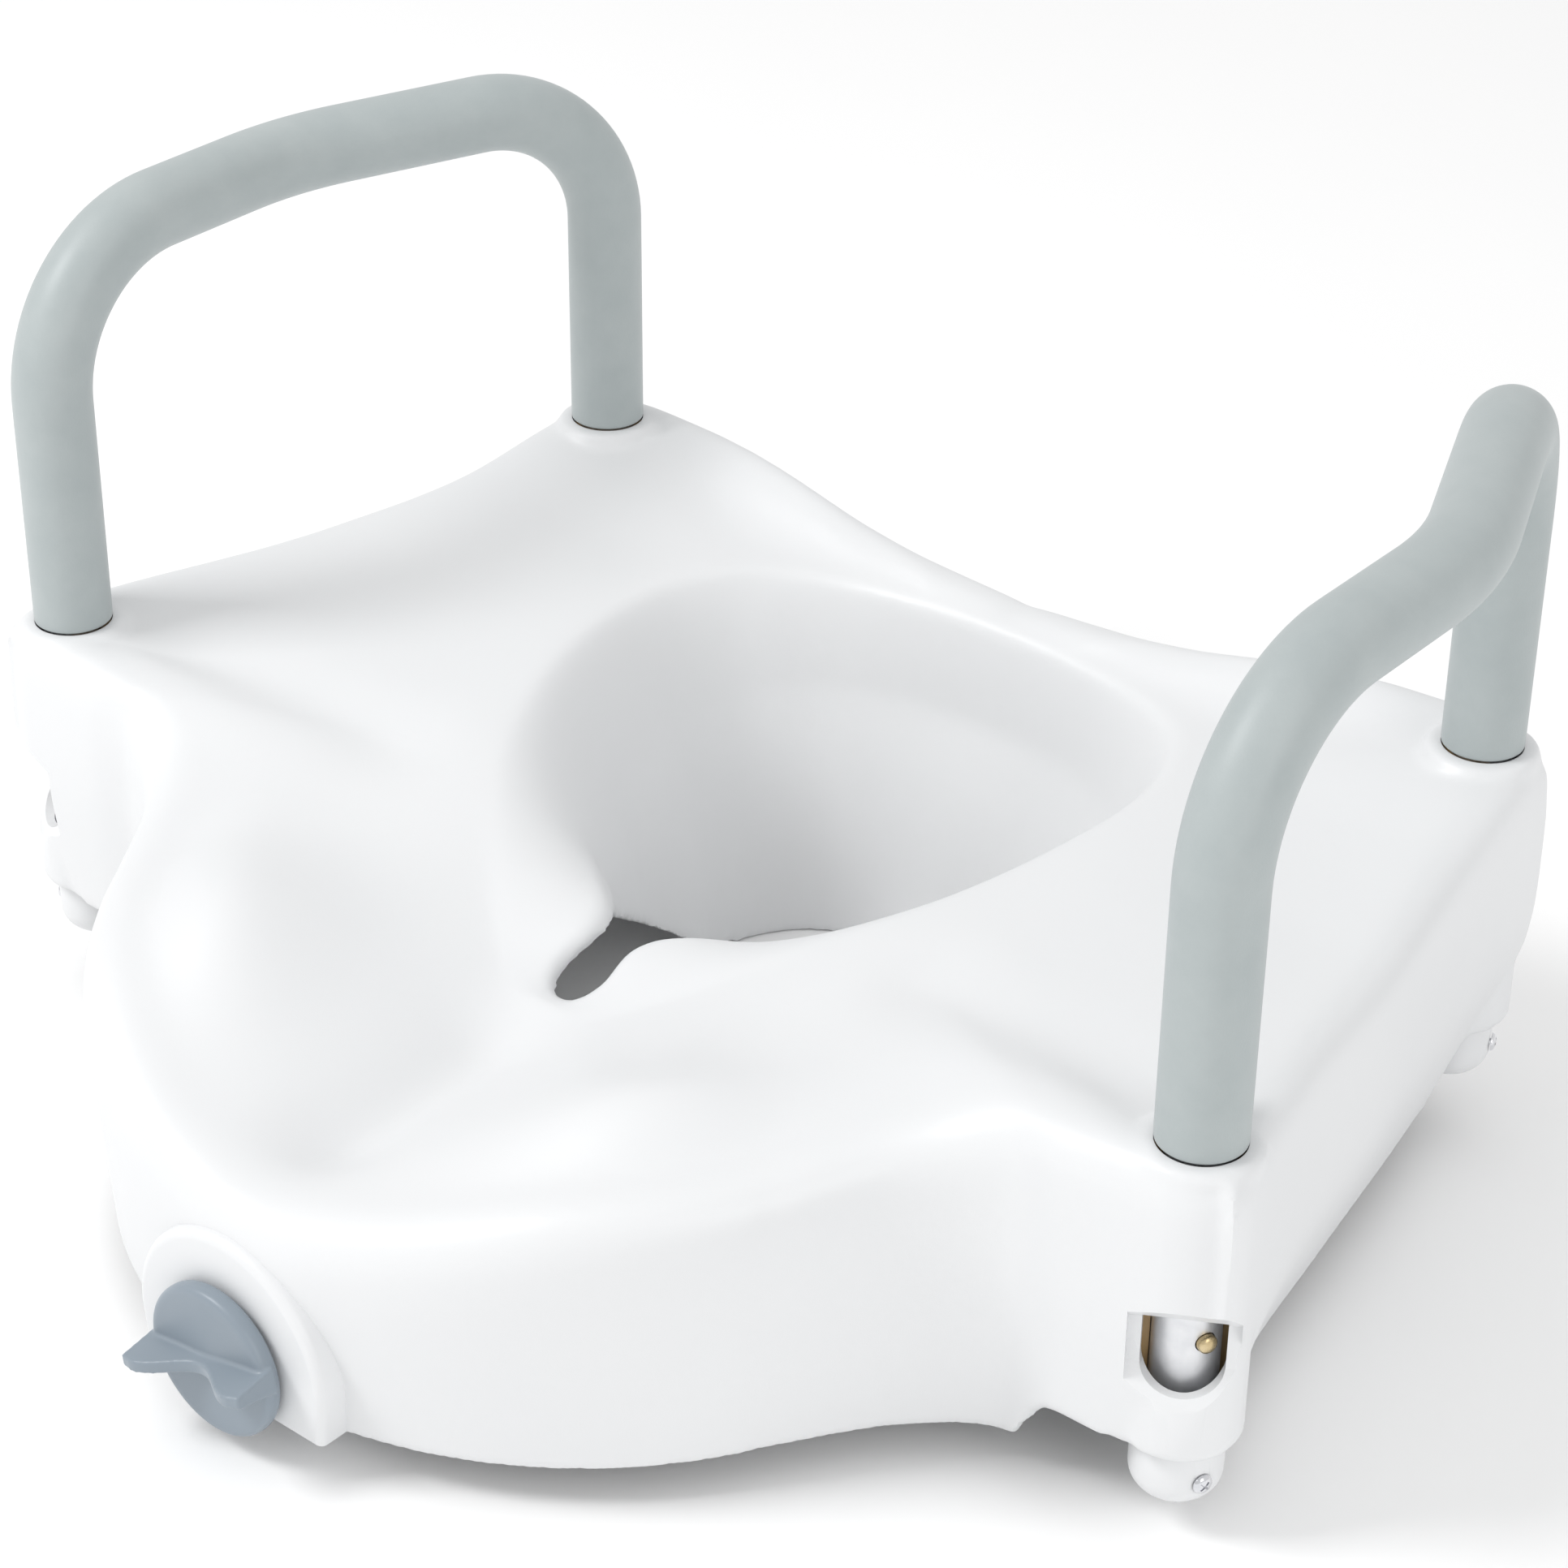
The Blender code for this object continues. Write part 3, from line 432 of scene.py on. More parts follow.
def lip_outline():
    """The edge of the keyhole opening: a narrow notch in front of a wide oval."""
    notch = [(0.0, -0.1310), (0.0085, -0.1280), (0.0135, -0.1180), (0.0135, -0.1020)]
    flare = [(0.0200, -0.0890), (0.0360, -0.0740), (0.0550, -0.0580), (0.0710, -0.0390)]
    oval = [(0.0850, -0.0160), (0.0940, 0.0100), (0.0970, 0.0380), (0.0900, 0.0660)]
    return notch + flare + oval + [(0.0740, 0.0880), (0.0500, 0.1010), (0.0250, 0.1065), (0.0, 0.1080)]


def crease_outline():
    """Where the level deck turns down into the dish round the opening."""
    front = [(0.0, -0.1360), (0.0200, -0.1330), (0.0400, -0.1190), (0.0580, -0.1025)]
    side = [(0.0750, -0.0850), (0.0900, -0.0650), (0.1020, -0.0420), (0.1110, -0.0170)]
    side += [(0.1165, 0.0100), (0.1185, 0.0360), (0.1140, 0.0640)]
    return front + side + [(0.0980, 0.0900), (0.0700, 0.1060), (0.0350, 0.1130), (0.0, 0.1150)]


def smoothed(outline, steps=16):
    """A curve through the points of a half outline, level where it meets x = 0."""
    points = np.array([tuple(p)[:2] for p in outline])
    points = np.vstack([points[1] * (-1, 1), points, points[-2] * (-1, 1)])
    curve = []
    for a, b, c, d in zip(points, points[1:], points[2:], points[3:]):
        for t in np.arange(steps) / steps:
            swing = (2 * a - 5 * b + 4 * c - d) * t**2 + (3 * b - a - 3 * c + d) * t**3
            curve.append(b + ((c - a) * t + swing) / 2)
    return np.array(curve + [points[-2]])


def reach_of(outline, angles):
    """Distances from the pole to a half outline, in directions measured from straight ahead."""
    x, y = smoothed(outline).T
    turns = np.arctan2(x, POLE_Y - y)
    return np.interp(angles, turns, np.hypot(x, y - POLE_Y))


def stations(outline, shares):
    """Points along a half outline, by share of its length."""
    curve = smoothed(outline)
    lengths = np.hypot(*np.diff(curve, axis=0).T)
    run = np.concatenate([[0], np.cumsum(lengths)])
    return np.stack([np.interp(shares * run[-1], run, column) for column in curve.T], axis=1)


def blend(x, table):
    """Smooth steps through a table of (x, value) pairs."""
    at, value = (np.array(column, dtype=float) for column in zip(*table))
    k = np.clip(np.searchsorted(at, x) - 1, 0, len(at) - 2)
    t = np.clip((x - at[k]) / (at[k + 1] - at[k]), 0, 1)
    return value[k] + (value[k + 1] - value[k]) * t * t * (3 - 2 * t)


def curve_through(x, table):
    """A smooth curve through a table of (x, value) pairs."""
    at, value = (np.array(column, dtype=float) for column in zip(*table))
    slope = np.gradient(value, at)
    k = np.clip(np.searchsorted(at, x) - 1, 0, len(at) - 2)
    run = at[k + 1] - at[k]
    t = np.clip((x - at[k]) / run, 0, 1)
    first = (2 * t**3 - 3 * t**2 + 1) * value[k] + (t**3 - 2 * t**2 + t) * run * slope[k]
    return first + (3 * t**2 - 2 * t**3) * value[k + 1] + (t**3 - t**2) * run * slope[k + 1]


def edge_height(degrees):
    """Height of the top edge, by degrees from straight ahead."""
    nose = [(-8, -0.053), (0, -0.0585), (8, -0.053), (24, -0.036), (42, -0.029), (54, -0.020)]
    sides = [(64, -0.0045), (72, -0.0025), (95, -0.0055), (110, -0.001), (122, 0.009)]
    return curve_through(degrees, nose + sides + [(133, 0.010), (150, -0.003), (180, -0.011)])


def crease_height(y):
    """Height of the crease where the deck turns down into the dish."""
    front = [(-0.136, -0.0560), (-0.119, -0.0470), (-0.1025, -0.0370), (-0.085, -0.0285)]
    side = [(-0.065, -0.0220), (-0.042, -0.0175), (-0.017, -0.0135), (0.010, -0.0110)]
    return curve_through(y, front + side + [(0.060, -0.0100), (0.115, -0.0125)])


def lip_height(y):
    """Where the dish meets the splash guard."""
    front = [(-0.131, -0.0570), (-0.118, -0.0515), (-0.102, -0.0460), (-0.089, -0.0455)]
    side = [(-0.074, -0.0480), (-0.030, -0.0530), (0.010, -0.0530)]
    return curve_through(y, front + side + [(0.108, -0.0510)])


def guard_height(y):
    """The splash guard's lower edge arches up towards the notch."""
    front = [(-0.131, -0.0590), (-0.118, -0.0535), (-0.102, -0.0485), (-0.089, -0.0495)]
    front += [(-0.074, -0.0580)]
    side = [(-0.058, -0.0760), (-0.039, -0.0910), (-0.016, -0.1070), (0.010, -0.1230)]
    return curve_through(y, front + side + [(0.038, -0.1400), (0.055, -0.1425), (0.108, -0.1425)])


def guard_lean(y):
    """How far the splash guard's foot draws in towards the middle of the opening."""
    front = [(-0.131, 0.001), (-0.090, 0.003), (-0.020, 0.016)]
    return blend(y, front + [(0.030, 0.026), (0.108, 0.028)])


def foot_height(degrees):
    """The lower edge is raised across the wings beside the front sockets."""
    step_up = np.clip((degrees - 60.6) / 1.0, 0, 1)
    step_down = np.clip((72.5 - degrees) / 0.8, 0, 1)
    return FOOT_Z + (WING_Z - FOOT_Z) * np.minimum(step_up, step_down)


DECK_SHARES = (0.10, 0.22, 0.36, 0.50, 0.64, 0.78, 0.90)
DISH_SHARES = (0.12, 0.30, 0.50, 0.70, 0.88)
EDGE_ROOM = 0.038  # a deck narrower than this has a tighter outer edge
LOBE = (0.100, -0.200, 0.046, 0.0150)  # x, y, spread and height of each thigh rest's crown
GROOVE = (0.022, 0.0100)  # half width and depth of the groove between them
VALLEY = ((0.125, -0.085), (0.222, -0.106), 0.017, 0.0060)  # ends, half width and depth
SHOULDER_RISE = 0.0045  # height of the raised outer edge beside the sockets
SKIRT_DROP = 0.026  # the widest line runs at least this far under the top edge
EDGE_ROWS = ((0.0004, -0.0095), (0.0035, -0.0025), (0.0110, 0.0002))  # inward, up
DECK_START = 0.022  # how far inward the deck proper begins
GUARD_SHARES = (0.0, 0.15, 0.35, 0.65, 0.98, 1.0)


def relief(x, y):
    """The deck's soft lobes, the groove between them and the valleys behind them."""
    lobe_x, lobe_y, wide, high = LOBE
    lobe = high * np.exp(-(((x - lobe_x) / wide) ** 2) - ((y - lobe_y) / wide) ** 2)
    half, deep = GROOVE
    groove = deep * np.exp(-((x / half) ** 2)) * (y < POLE_Y)
    (ax, ay), (bx, by), spread_out, drop = VALLEY
    run = ((x - ax) * (bx - ax) + (y - ay) * (by - ay)) / ((bx - ax) ** 2 + (by - ay) ** 2)
    near = np.clip(run, 0, 1)
    away = np.hypot(x - ax - near * (bx - ax), y - ay - near * (by - ay))
    return lobe - groove - drop * np.exp(-((away / spread_out) ** 2))


def sections(shares):
    """Control points of the sections, as rows of x, y and z, from the foot to the splash guard."""
    belt, crease, lip = (stations(o(), shares) for o in (belt_outline, crease_outline, lip_outline))
    angles = np.arctan2(belt[:, 0], POLE_Y - belt[:, 1])
    degrees = np.degrees(angles)
    reach = reach_of(foot_outline(), angles)
    foot = np.stack([reach * np.sin(angles), POLE_Y - reach * np.cos(angles)], axis=1)
    inward = crease - belt
    gap = np.hypot(*inward.T)[:, None]
    inward *= np.minimum(1, gap / EDGE_ROOM) / gap
    top, base = edge_height(degrees), foot_height(degrees)
    bend, brim, low = crease_height(crease[:, 1]), lip_height(lip[:, 1]), guard_height(lip[:, 1])
    skirt = np.minimum(BELT_Z, top - SKIRT_DROP)
    side = np.clip((degrees - 62) / 14, 0, 1) * np.clip((158 - degrees) / 20, 0, 1)
    rows = [(foot, base), (foot, base + 0.001)]
    rows += [(foot + (belt - foot) * s, base + (skirt - base) * s) for s in (0.35, 0.7)]
    rows += [(belt, skirt), (belt, (skirt + top) / 2 - 0.004)]
    rows += [(belt + inward * across, top + up) for across, up in EDGE_ROWS]
    edge = belt + inward * DECK_START
    start = top - 0.0002 - SHOULDER_RISE * side * 0.35
    rows += [(edge, start)]
    for share in DECK_SHARES:
        place = edge + (crease - edge) * share
        fade = min(1, share / 0.2) * min(1, (1 - share) / 0.2)
        fall = SHOULDER_RISE * side * (1 - math.exp(-share * 9)) * (1 - share)
        level = start + (bend - start) * (share * share * (3 - 2 * share)) - fall * 0.65
        rows.append((place, level + fade * relief(place[:, 0], place[:, 1])))
    rows += [(crease, bend - 0.0005)]
    for share in DISH_SHARES:
        rows.append((crease + (lip - crease) * share, bend + (brim - bend) * share**1.5))
    depth = np.maximum(brim - low, 0.002)
    lean = guard_lean(lip[:, 1])[:, None] * (lip - crease)
    lean /= np.maximum(np.hypot(*(lip - crease).T), 0.001)[:, None]
    for share in GUARD_SHARES:
        rows.append((lip + lean * math.sin(share * math.pi / 2), brim - depth * share))
    points = []
    for place, z in rows:
        points.append(np.column_stack([place, np.broadcast_to(z, shares.shape)]))
    return np.array(points)


def section_curve(rows, steps):
    """A cubic B-spline down the sections' control points."""
    first, last = 2 * rows[0] - rows[1], 2 * rows[-1] - rows[-2]
    rows = np.concatenate([[first], rows, [last]])
    out = []
    for k in range(len(rows) - 3):
        for t in np.arange(steps) / steps:
            weights = ((1 - t) ** 3, 3 * t**3 - 6 * t**2 + 4, -3 * t**3 + 3 * t**2 + 3 * t + 1, t**3)
            out.append(sum(w * r for w, r in zip(weights, rows[k : k + 4])) / 6)
    out.append((rows[-3] + 4 * rows[-2] + rows[-1]) / 6)
    return np.array(out)


def body_surface(sectors, steps):
    """The body's open outer surface, lofted from the skirt to the splash guard."""
    curve = section_curve(sections(np.linspace(0, 1, sectors // 2 + 1)), steps)
    mirrored = curve[:, -2:0:-1] * (-1, 1, 1)
    points = np.concatenate([curve, mirrored], axis=1)
    rows, columns = points.shape[:2]
    faces = []
    for r in range(rows - 1):
        for k in range(columns):
            here, after = r * columns + k, r * columns + (k + 1) % columns
            faces.append((here, here + columns, after + columns, after))
    return mesh_of("seat_body", points.reshape(-1, 3), faces)


# ---------------------------------------------------------------- seat body
FULL_GRID = (480, 5, 0.0018)  # sections, steps between their control points, voxel
FACE_TARGET = 82000  # before the cuts
CAP_ROOM = (CAP_RADIUS + 0.0024, 0.06)  # radius and depth cleared round each cap
PILLAR = (0.009, 0.040)  # radius and height
RAIL_X = 0.0245
RAIL_Y = (-0.264, -0.205)
RAIL_Z = (-0.1055, -0.062)
RAIL_HALF = 0.002
PILOT_RADIUS = 0.0016
SCOOP_HALF = 0.0172


def post_mesh(name):
    """A corner post with a thinner spigot below it, closed."""
    foot, end = -POST_DEPTH, -SPIGOT_END
    outer = [(0, 0.0), (POST_RADIUS, 0.0), (POST_RADIUS, foot), (SPIGOT_RADIUS, foot)]
    profile = rounded(outer + [(SPIGOT_RADIUS, end), (0, end)], 0.0030)
    mesh = turned_mesh("post", profile, 72)
    mesh.transform(Matrix.Translation(LEGS[name]))
    return mesh


def boss_mesh():
    """The arched pad on the nose that the knob turns on, with a rounded front edge."""
    half, foot, depth, radius = BOSS_HALF_WIDTH, -0.0185, 0.026, 0.0034
    turns = np.radians(np.linspace(0, 180, 65))
    outline = [(half * math.cos(t), BOSS_RISE * math.sin(t)) for t in turns]
    outline += [(-half + 0.002, foot), (half - 0.002, foot)]
    n, points = len(outline), []
    middle = np.array([0, 0.010])
    bends = np.radians(np.linspace(0, 90, 7))
    levels = [(radius * (1 - math.sin(b)), radius * (1 - math.cos(b))) for b in bends]
    for inset, back in levels + [(0.0, depth)]:
        for x, z in outline:
            away = np.array([x, z]) - middle
            place = np.array([x, z]) - away / np.hypot(*away) * inset
            points.append((place[0], back, place[1]))
    rings = len(points) // n
    faces = [list(range(n)), list(range((rings - 1) * n, rings * n))[::-1]]
    for ring in range(rings - 1):
        for k in range(n):
            a, b = ring * n + k, ring * n + (k + 1) % n
            faces.append((a, b, b + n, a + n))
    mesh = mesh_of("boss", points, faces)
    mesh.transform(Matrix.Translation((0, BOSS_FACE, AXIS_Z)))
    return outward_faces(mesh)


def rest_pillars():
    """Pillars under the deck that carry the rim pads."""
    out = []
    for side in ("left", "right"):
        for end in ("front", "back"):
            low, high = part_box(f"rim_pad_{end}_{side}")
            x, y = (low[0] + high[0]) / 2, (low[1] + high[1]) / 2 - DATUM.y
            top = high[2] + GAP - DATUM.z
            radius, rise = PILLAR
            mesh = turned_mesh("pillar", [(0, rise), (radius, rise), (radius, 0), (0, 0)], 40)
            mesh.transform(Matrix.Translation((x, y, top)))
            out.append(mesh)
    return out


def clamp_rails():
    """The two rails under the nose that guide the clamp."""
    out = []
    for sign in (-1, 1):
        (front, back), (low, high) = RAIL_Y, RAIL_Z
        outline = [(front, low), (back, low), (back, high), (front, high)]
        mesh = prism("rail", outline, -RAIL_HALF, RAIL_HALF)
        mesh.transform(Matrix.Translation((sign * RAIL_X, 0, 0)) @ TO_YZ)
        out.append(mesh)
    return out


def socket_cutters():
    """Bores, button windows with their scoops, screw pilots and the knob shaft's hole."""
    out = []
    for name in LEG_NAMES:
        place = Matrix.Translation(LEGS[name])
        bore = [(0, 0.02), (BORE_RADIUS, 0.02), (BORE_RADIUS, -BORE_DEPTH), (0, -BORE_DEPTH)]
        mesh = turned_mesh("bore", bore, 72)
        mesh.transform(place)
        out.append(mesh)
        facing = outward(name, WINDOW_TURN[name.split("_")[0]])
        heading = Matrix.Rotation(math.atan2(facing.y, facing.x), 4, "Z")
        out.append(window_mesh(place @ heading))
        out.append(scoop_mesh(place @ heading))
        outline = [(0, 0.010), (PILOT_RADIUS, 0.010), (PILOT_RADIUS, 0.004), (0, 0.004)]
        pilot = turned_mesh("pilot", outline, 16)
        turn = stand(outward(name, BUTTON_TURN))
        pilot.transform(place @ Matrix.Translation((0, 0, -SCREW_DEPTH)) @ turn)
        out.append(pilot)
    outline = [(0, 0.06), (SHAFT_HOLE_RADIUS, 0.06), (SHAFT_HOLE_RADIUS, 0), (0, 0)]
    shaft = turned_mesh("shaft", outline, 40)
    shaft.transform(Matrix.Translation((0, -0.3, AXIS_Z)) @ stand((0, 1, 0)))
    out.append(shaft)
    return out


def window_mesh(place):
    """The opening to the bore: square above, round below. It faces +X before it is placed."""
    half, top, bottom, corner = 0.013, -0.0560, -0.0840, 0.0095
    turns = np.radians(np.linspace(0, -180, 21))
    outline = [(half * math.cos(t), bottom + corner + corner * math.sin(t)) for t in turns]
    outline += [(-half, top), (half, top)]
    mesh = prism("window", outline, 0.004, 0.060)
    mesh.transform(place @ TO_YZ)
    return mesh


def scoop_mesh(place):
    """The hollow round the window: overhung above, with a shelf that slopes out below."""
    flank = [(0.0118, -0.0585), (0.0150, -0.0555), (0.0270, -0.0440), (0.0270, -0.0960)]
    flank += [(0.0200, -0.0885), (0.0150, -0.0800), (0.0118, -0.0750)]
    mesh = prism("scoop", flank[::-1], -SCOOP_HALF, SCOOP_HALF)
    mesh.transform(place @ TO_XZ)
    return mesh


def seat_shell():
    """The body: a thick skin with its posts, pillars and rails welded in, then cut."""
    sectors, steps, voxel = FULL_GRID
    skin = add("skin", body_surface(sectors, steps))
    wall = skin.modifiers.new("wall", "SOLIDIFY")
    wall.thickness = SHELL_THICKNESS
    wall.offset = -1
    wall.use_even_offset = True
    cap_room = []
    for name in LEG_NAMES:
        radius, depth = CAP_ROOM
        mesh = turned_mesh("room", [(0, 0), (radius, 0), (radius, -depth), (0, -depth)], 48)
        mesh.transform(Matrix.Translation(LEGS[name] + Vector((0, 0, -POST_DEPTH))))
        cap_room.append(mesh)
    room = add("cap_room", outward_faces(join_meshes("cap_room", cap_room)))
    boolean(skin, room, "DIFFERENCE")
    shell = evaluated(skin)
    bpy.data.objects.remove(room)
    lumps = [post_mesh(name) for name in LEG_NAMES]
    lumps += rest_pillars() + clamp_rails()
    body = add("body", join_meshes("body", [shell] + [outward_faces(m) for m in lumps]))
    remesh = body.modifiers.new("weld", "REMESH")
    remesh.mode = "VOXEL"
    remesh.voxel_size = voxel
    mesh = evaluated(body)
    relax(mesh, 12)
    body = add("seat_shell_fine", mesh)
    thin = body.modifiers.new("thin", "DECIMATE")
    thin.ratio = min(1.0, FACE_TARGET / len(mesh.polygons))
    boss = add("boss", boss_mesh())
    boolean(body, boss, "UNION")
    cutters = add("cutters", outward_faces(join_meshes("cutters", socket_cutters())))
    boolean(body, cutters, "DIFFERENCE")
    body.modifiers[-1].use_self = True
    mesh = evaluated(body)
    bpy.data.objects.remove(cutters)
    bpy.data.objects.remove(boss)
    mesh.transform(Matrix.Translation(DATUM))
    made = add("seat_shell_fine", smooth(mesh, 38), WHITE)
    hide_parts("seat_shell")
    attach(made, "seat")


# ---------------------------------------------------------------- arms
def filleted(corners, radii, steps):
    """A path through corner points, each corner rounded to a radius."""
    path = [Vector(corners[0])]
    for before, corner, after, radius in zip(corners, corners[1:], corners[2:], radii):
        corner = Vector(corner)
        first = (Vector(before) - corner).normalized()
        second = (Vector(after) - corner).normalized()
        half = first.angle(second) / 2
        run = radius / math.tan(half)
        start = corner + first * run
        centre = corner + (first + second).normalized() * (radius / math.sin(half))
        spoke = start - centre
        axis = spoke.cross(corner + second * run - centre)
        for k in range(steps + 1):
            turn = Matrix.Rotation((math.pi - 2 * half) * k / steps, 3, axis)
            path.append(centre + turn @ spoke)
    path.append(Vector(corners[-1]))
    return path


def arm_path(sign, front_z, back_z, steps=28):
    """An arm's axis, from the foot of its front leg to the foot of its back leg."""
    front_top, mid_top, back_top = ARM_TOPS
    fx, fy, bx, by = FRONT_LEG.x, FRONT_LEG.y, BACK_LEG.x, BACK_LEG.y
    corners = [(sign * fx, fy, front_z), (sign * fx, fy, front_top)]
    corners += [(sign * ARM_MID[0], ARM_MID[1], mid_top), (sign * bx, by, back_top)]
    corners += [(sign * bx, by, back_z)]
    return filleted(corners, BENDS, steps)


def swept(name, path, section, sides=64):
    """A tube along a path. section gives (radius, setback along the path) rings at each end."""
    tangents = []
    for k in range(len(path)):
        ahead, behind = path[min(k + 1, len(path) - 1)], path[max(k - 1, 0)]
        tangents.append((ahead - behind).normalized())
    side = Vector((0, 1, 0)).cross(tangents[0]).normalized()
    frames = []
    for point, tangent in zip(path, tangents):
        side = (side - tangent * side.dot(tangent)).normalized()
        frames.append((point, tangent, side, tangent.cross(side)))
    rings = []
    outer, inner = section
    first, last = frames[0], frames[-1]
    for radius, setback in outer:
        rings.append((radius, first[0] + first[1] * setback, first[2], first[3]))
    for point, tangent, u, v in frames[1:-1]:
        rings.append((outer[-1][0], point, u, v))
    for radius, setback in outer[::-1]:
        rings.append((radius, last[0] - last[1] * setback, last[2], last[3]))
    for radius, setback in inner:
        rings.append((radius, last[0] - last[1] * setback, last[2], last[3]))
    for point, tangent, u, v in frames[-2:0:-1]:
        rings.append((inner[-1][0], point, u, v))
    for radius, setback in inner[::-1]:
        rings.append((radius, first[0] + first[1] * setback, first[2], first[3]))
    turns = np.linspace(0, 2 * math.pi, sides, endpoint=False)
    points, faces = [], []
    for radius, centre, u, v in rings:
        points += [centre + radius * (math.cos(t) * u + math.sin(t) * v) for t in turns]
    for r in range(len(rings)):
        after_ring = (r + 1) % len(rings)
        for k in range(sides):
            after = (k + 1) % sides
            here, there = r * sides, after_ring * sides
            faces.append((here + k, here + after, there + after, there + k))
    return outward_faces(mesh_of(name, points, faces))


def subdivided(path, spacing):
    """More points wherever two stand further apart than the spacing."""
    out = [path[0]]
    for a, b in zip(path, path[1:]):
        count = max(1, round((b - a).length / spacing))
        out += [a.lerp(b, k / count) for k in range(1, count + 1)]
    return out


def arm_sleeve(side, sign):
    path = subdivided(arm_path(sign, SLEEVE_START, BACK_LEG.z + SLEEVE_START), 0.004)
    edge = 0.0012
    outer = [(SLEEVE_RADIUS - edge, 0), (SLEEVE_RADIUS - edge * 0.45, edge * 0.12)]
    outer += [(SLEEVE_RADIUS - edge * 0.12, edge * 0.45), (SLEEVE_RADIUS, edge)]
    bore = TUBE_RADIUS + GAP
    inner = [(bore + 0.0004, 0), (bore, 0.0006)]
    mesh = swept("arm_sleeve", path, (outer, inner))
    mesh.transform(Matrix.Translation(DATUM))
    made = add(f"arm_sleeve_fine_{side}", smooth(mesh, 60), FOAM)
    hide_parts(f"arm_sleeve_{side}")
    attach(made, f"arm_{side}")


def arm_tube(side, sign):
    foot = GAP - BORE_DEPTH
    path = subdivided(arm_path(sign, foot, foot + BACK_LEG.z, 20), 0.02)
    outer = [(TUBE_RADIUS - 0.0004, 0), (TUBE_RADIUS, 0.0004)]
    inner = [(TUBE_RADIUS - TUBE_WALL + 0.0002, 0), (TUBE_RADIUS - TUBE_WALL, 0.0002)]
    made = add(f"arm_tube_fine_{side}", swept("arm_tube", path, (outer, inner)))
    holes = []
    for end in ("front", "back"):
        name = f"{end}_{side}"
        radius = BUTTON_RADIUS + GAP
        mesh = turned_mesh("hole", [(0, 0.02), (radius, 0.02), (radius, 0), (0, 0)], 40)
        place = Matrix.Translation(LEGS[name] + Vector((0, 0, -BUTTON_DEPTH)))
        mesh.transform(place @ stand(outward(name, BUTTON_TURN)))
        holes.append(mesh)
    holes = add("holes", outward_faces(join_meshes("holes", holes)))
    boolean(made, holes, "DIFFERENCE")
    mesh = evaluated(made)
    bpy.data.objects.remove(holes)
    mesh.transform(Matrix.Translation(DATUM))
    made = add(f"arm_tube_fine_{side}", smooth(mesh, 40), ALUMINIUM)
    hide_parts(f"arm_tube_{side}")
    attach(made, f"arm_{side}")


# ---------------------------------------------------------------- buttons, caps and screws
def snap_button(name):
    """A domed button with a flange inside the tube."""
    tip, shoulder, inner, flange = TUBE_RADIUS + 0.0028, BUTTON_RADIUS, 0.0063, 0.0038
    turns = np.radians(np.linspace(90, 0, 9))
    dome = [(shoulder * math.cos(t), tip - 0.0016 + 0.0016 * math.sin(t)) for t in turns]
    dome[0] = (0, tip)
    shank = [(shoulder, inner + 0.0013), (flange, inner + 0.0013), (flange, inner), (0, inner)]
    mesh = turned_mesh("snap_button", dome + shank, 40)
    place = Matrix.Translation(DATUM + LEGS[name] + Vector((0, 0, -BUTTON_DEPTH)))
    mesh.transform(place @ stand(outward(name, BUTTON_TURN)))
    made = add(f"snap_button_fine_{name}", smooth(mesh, 40), BRASS)
    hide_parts(f"snap_button_{name}")
    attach(made, f"button_{name}")


def socket_cap(name):
    """The cup that closes the foot of a socket, with a shallow countersink for its screw."""
    rim, foot, inner = -POST_DEPTH - GAP, -CAP_END, SPIGOT_RADIUS + GAP
    floor = -SPIGOT_END - GAP
    wall = [(0, floor), (inner, floor), (inner, rim), (CAP_RADIUS - 0.0012, rim)]
    wall += [(CAP_RADIUS - 0.0004, rim - 0.0003), (CAP_RADIUS, rim - 0.0012)]
    turns = np.radians(np.linspace(0, 90, 13))
    bulge = [(CAP_RADIUS * math.cos(t) ** 0.72, foot + 0.0100 * (1 - math.sin(t))) for t in turns]
    bulge[-1] = (0, foot)
    made = add(f"socket_cap_fine_{name}", outward_faces(turned_mesh("cap", wall + bulge, 72)))
    sink = [(0, 0.020), (0.0037, 0.020), (0.0037, 0.0148), (0.0019, 0.0142), (0.0019, 0), (0, 0)]
    tool = turned_mesh("sink", sink, 32)
    tool.transform(Matrix.Translation((0, 0, -SCREW_DEPTH)) @ stand(outward(name, BUTTON_TURN)))
    tool = add("sink", outward_faces(tool))
    boolean(made, tool, "DIFFERENCE")
    mesh = evaluated(made)
    bpy.data.objects.remove(tool)
    mesh.transform(Matrix.Translation(DATUM + LEGS[name]))
    made = add(f"socket_cap_fine_{name}", smooth(mesh, 35), CAP_WHITE)
    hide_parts(f"socket_cap_{name}")
    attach(made, "seat")


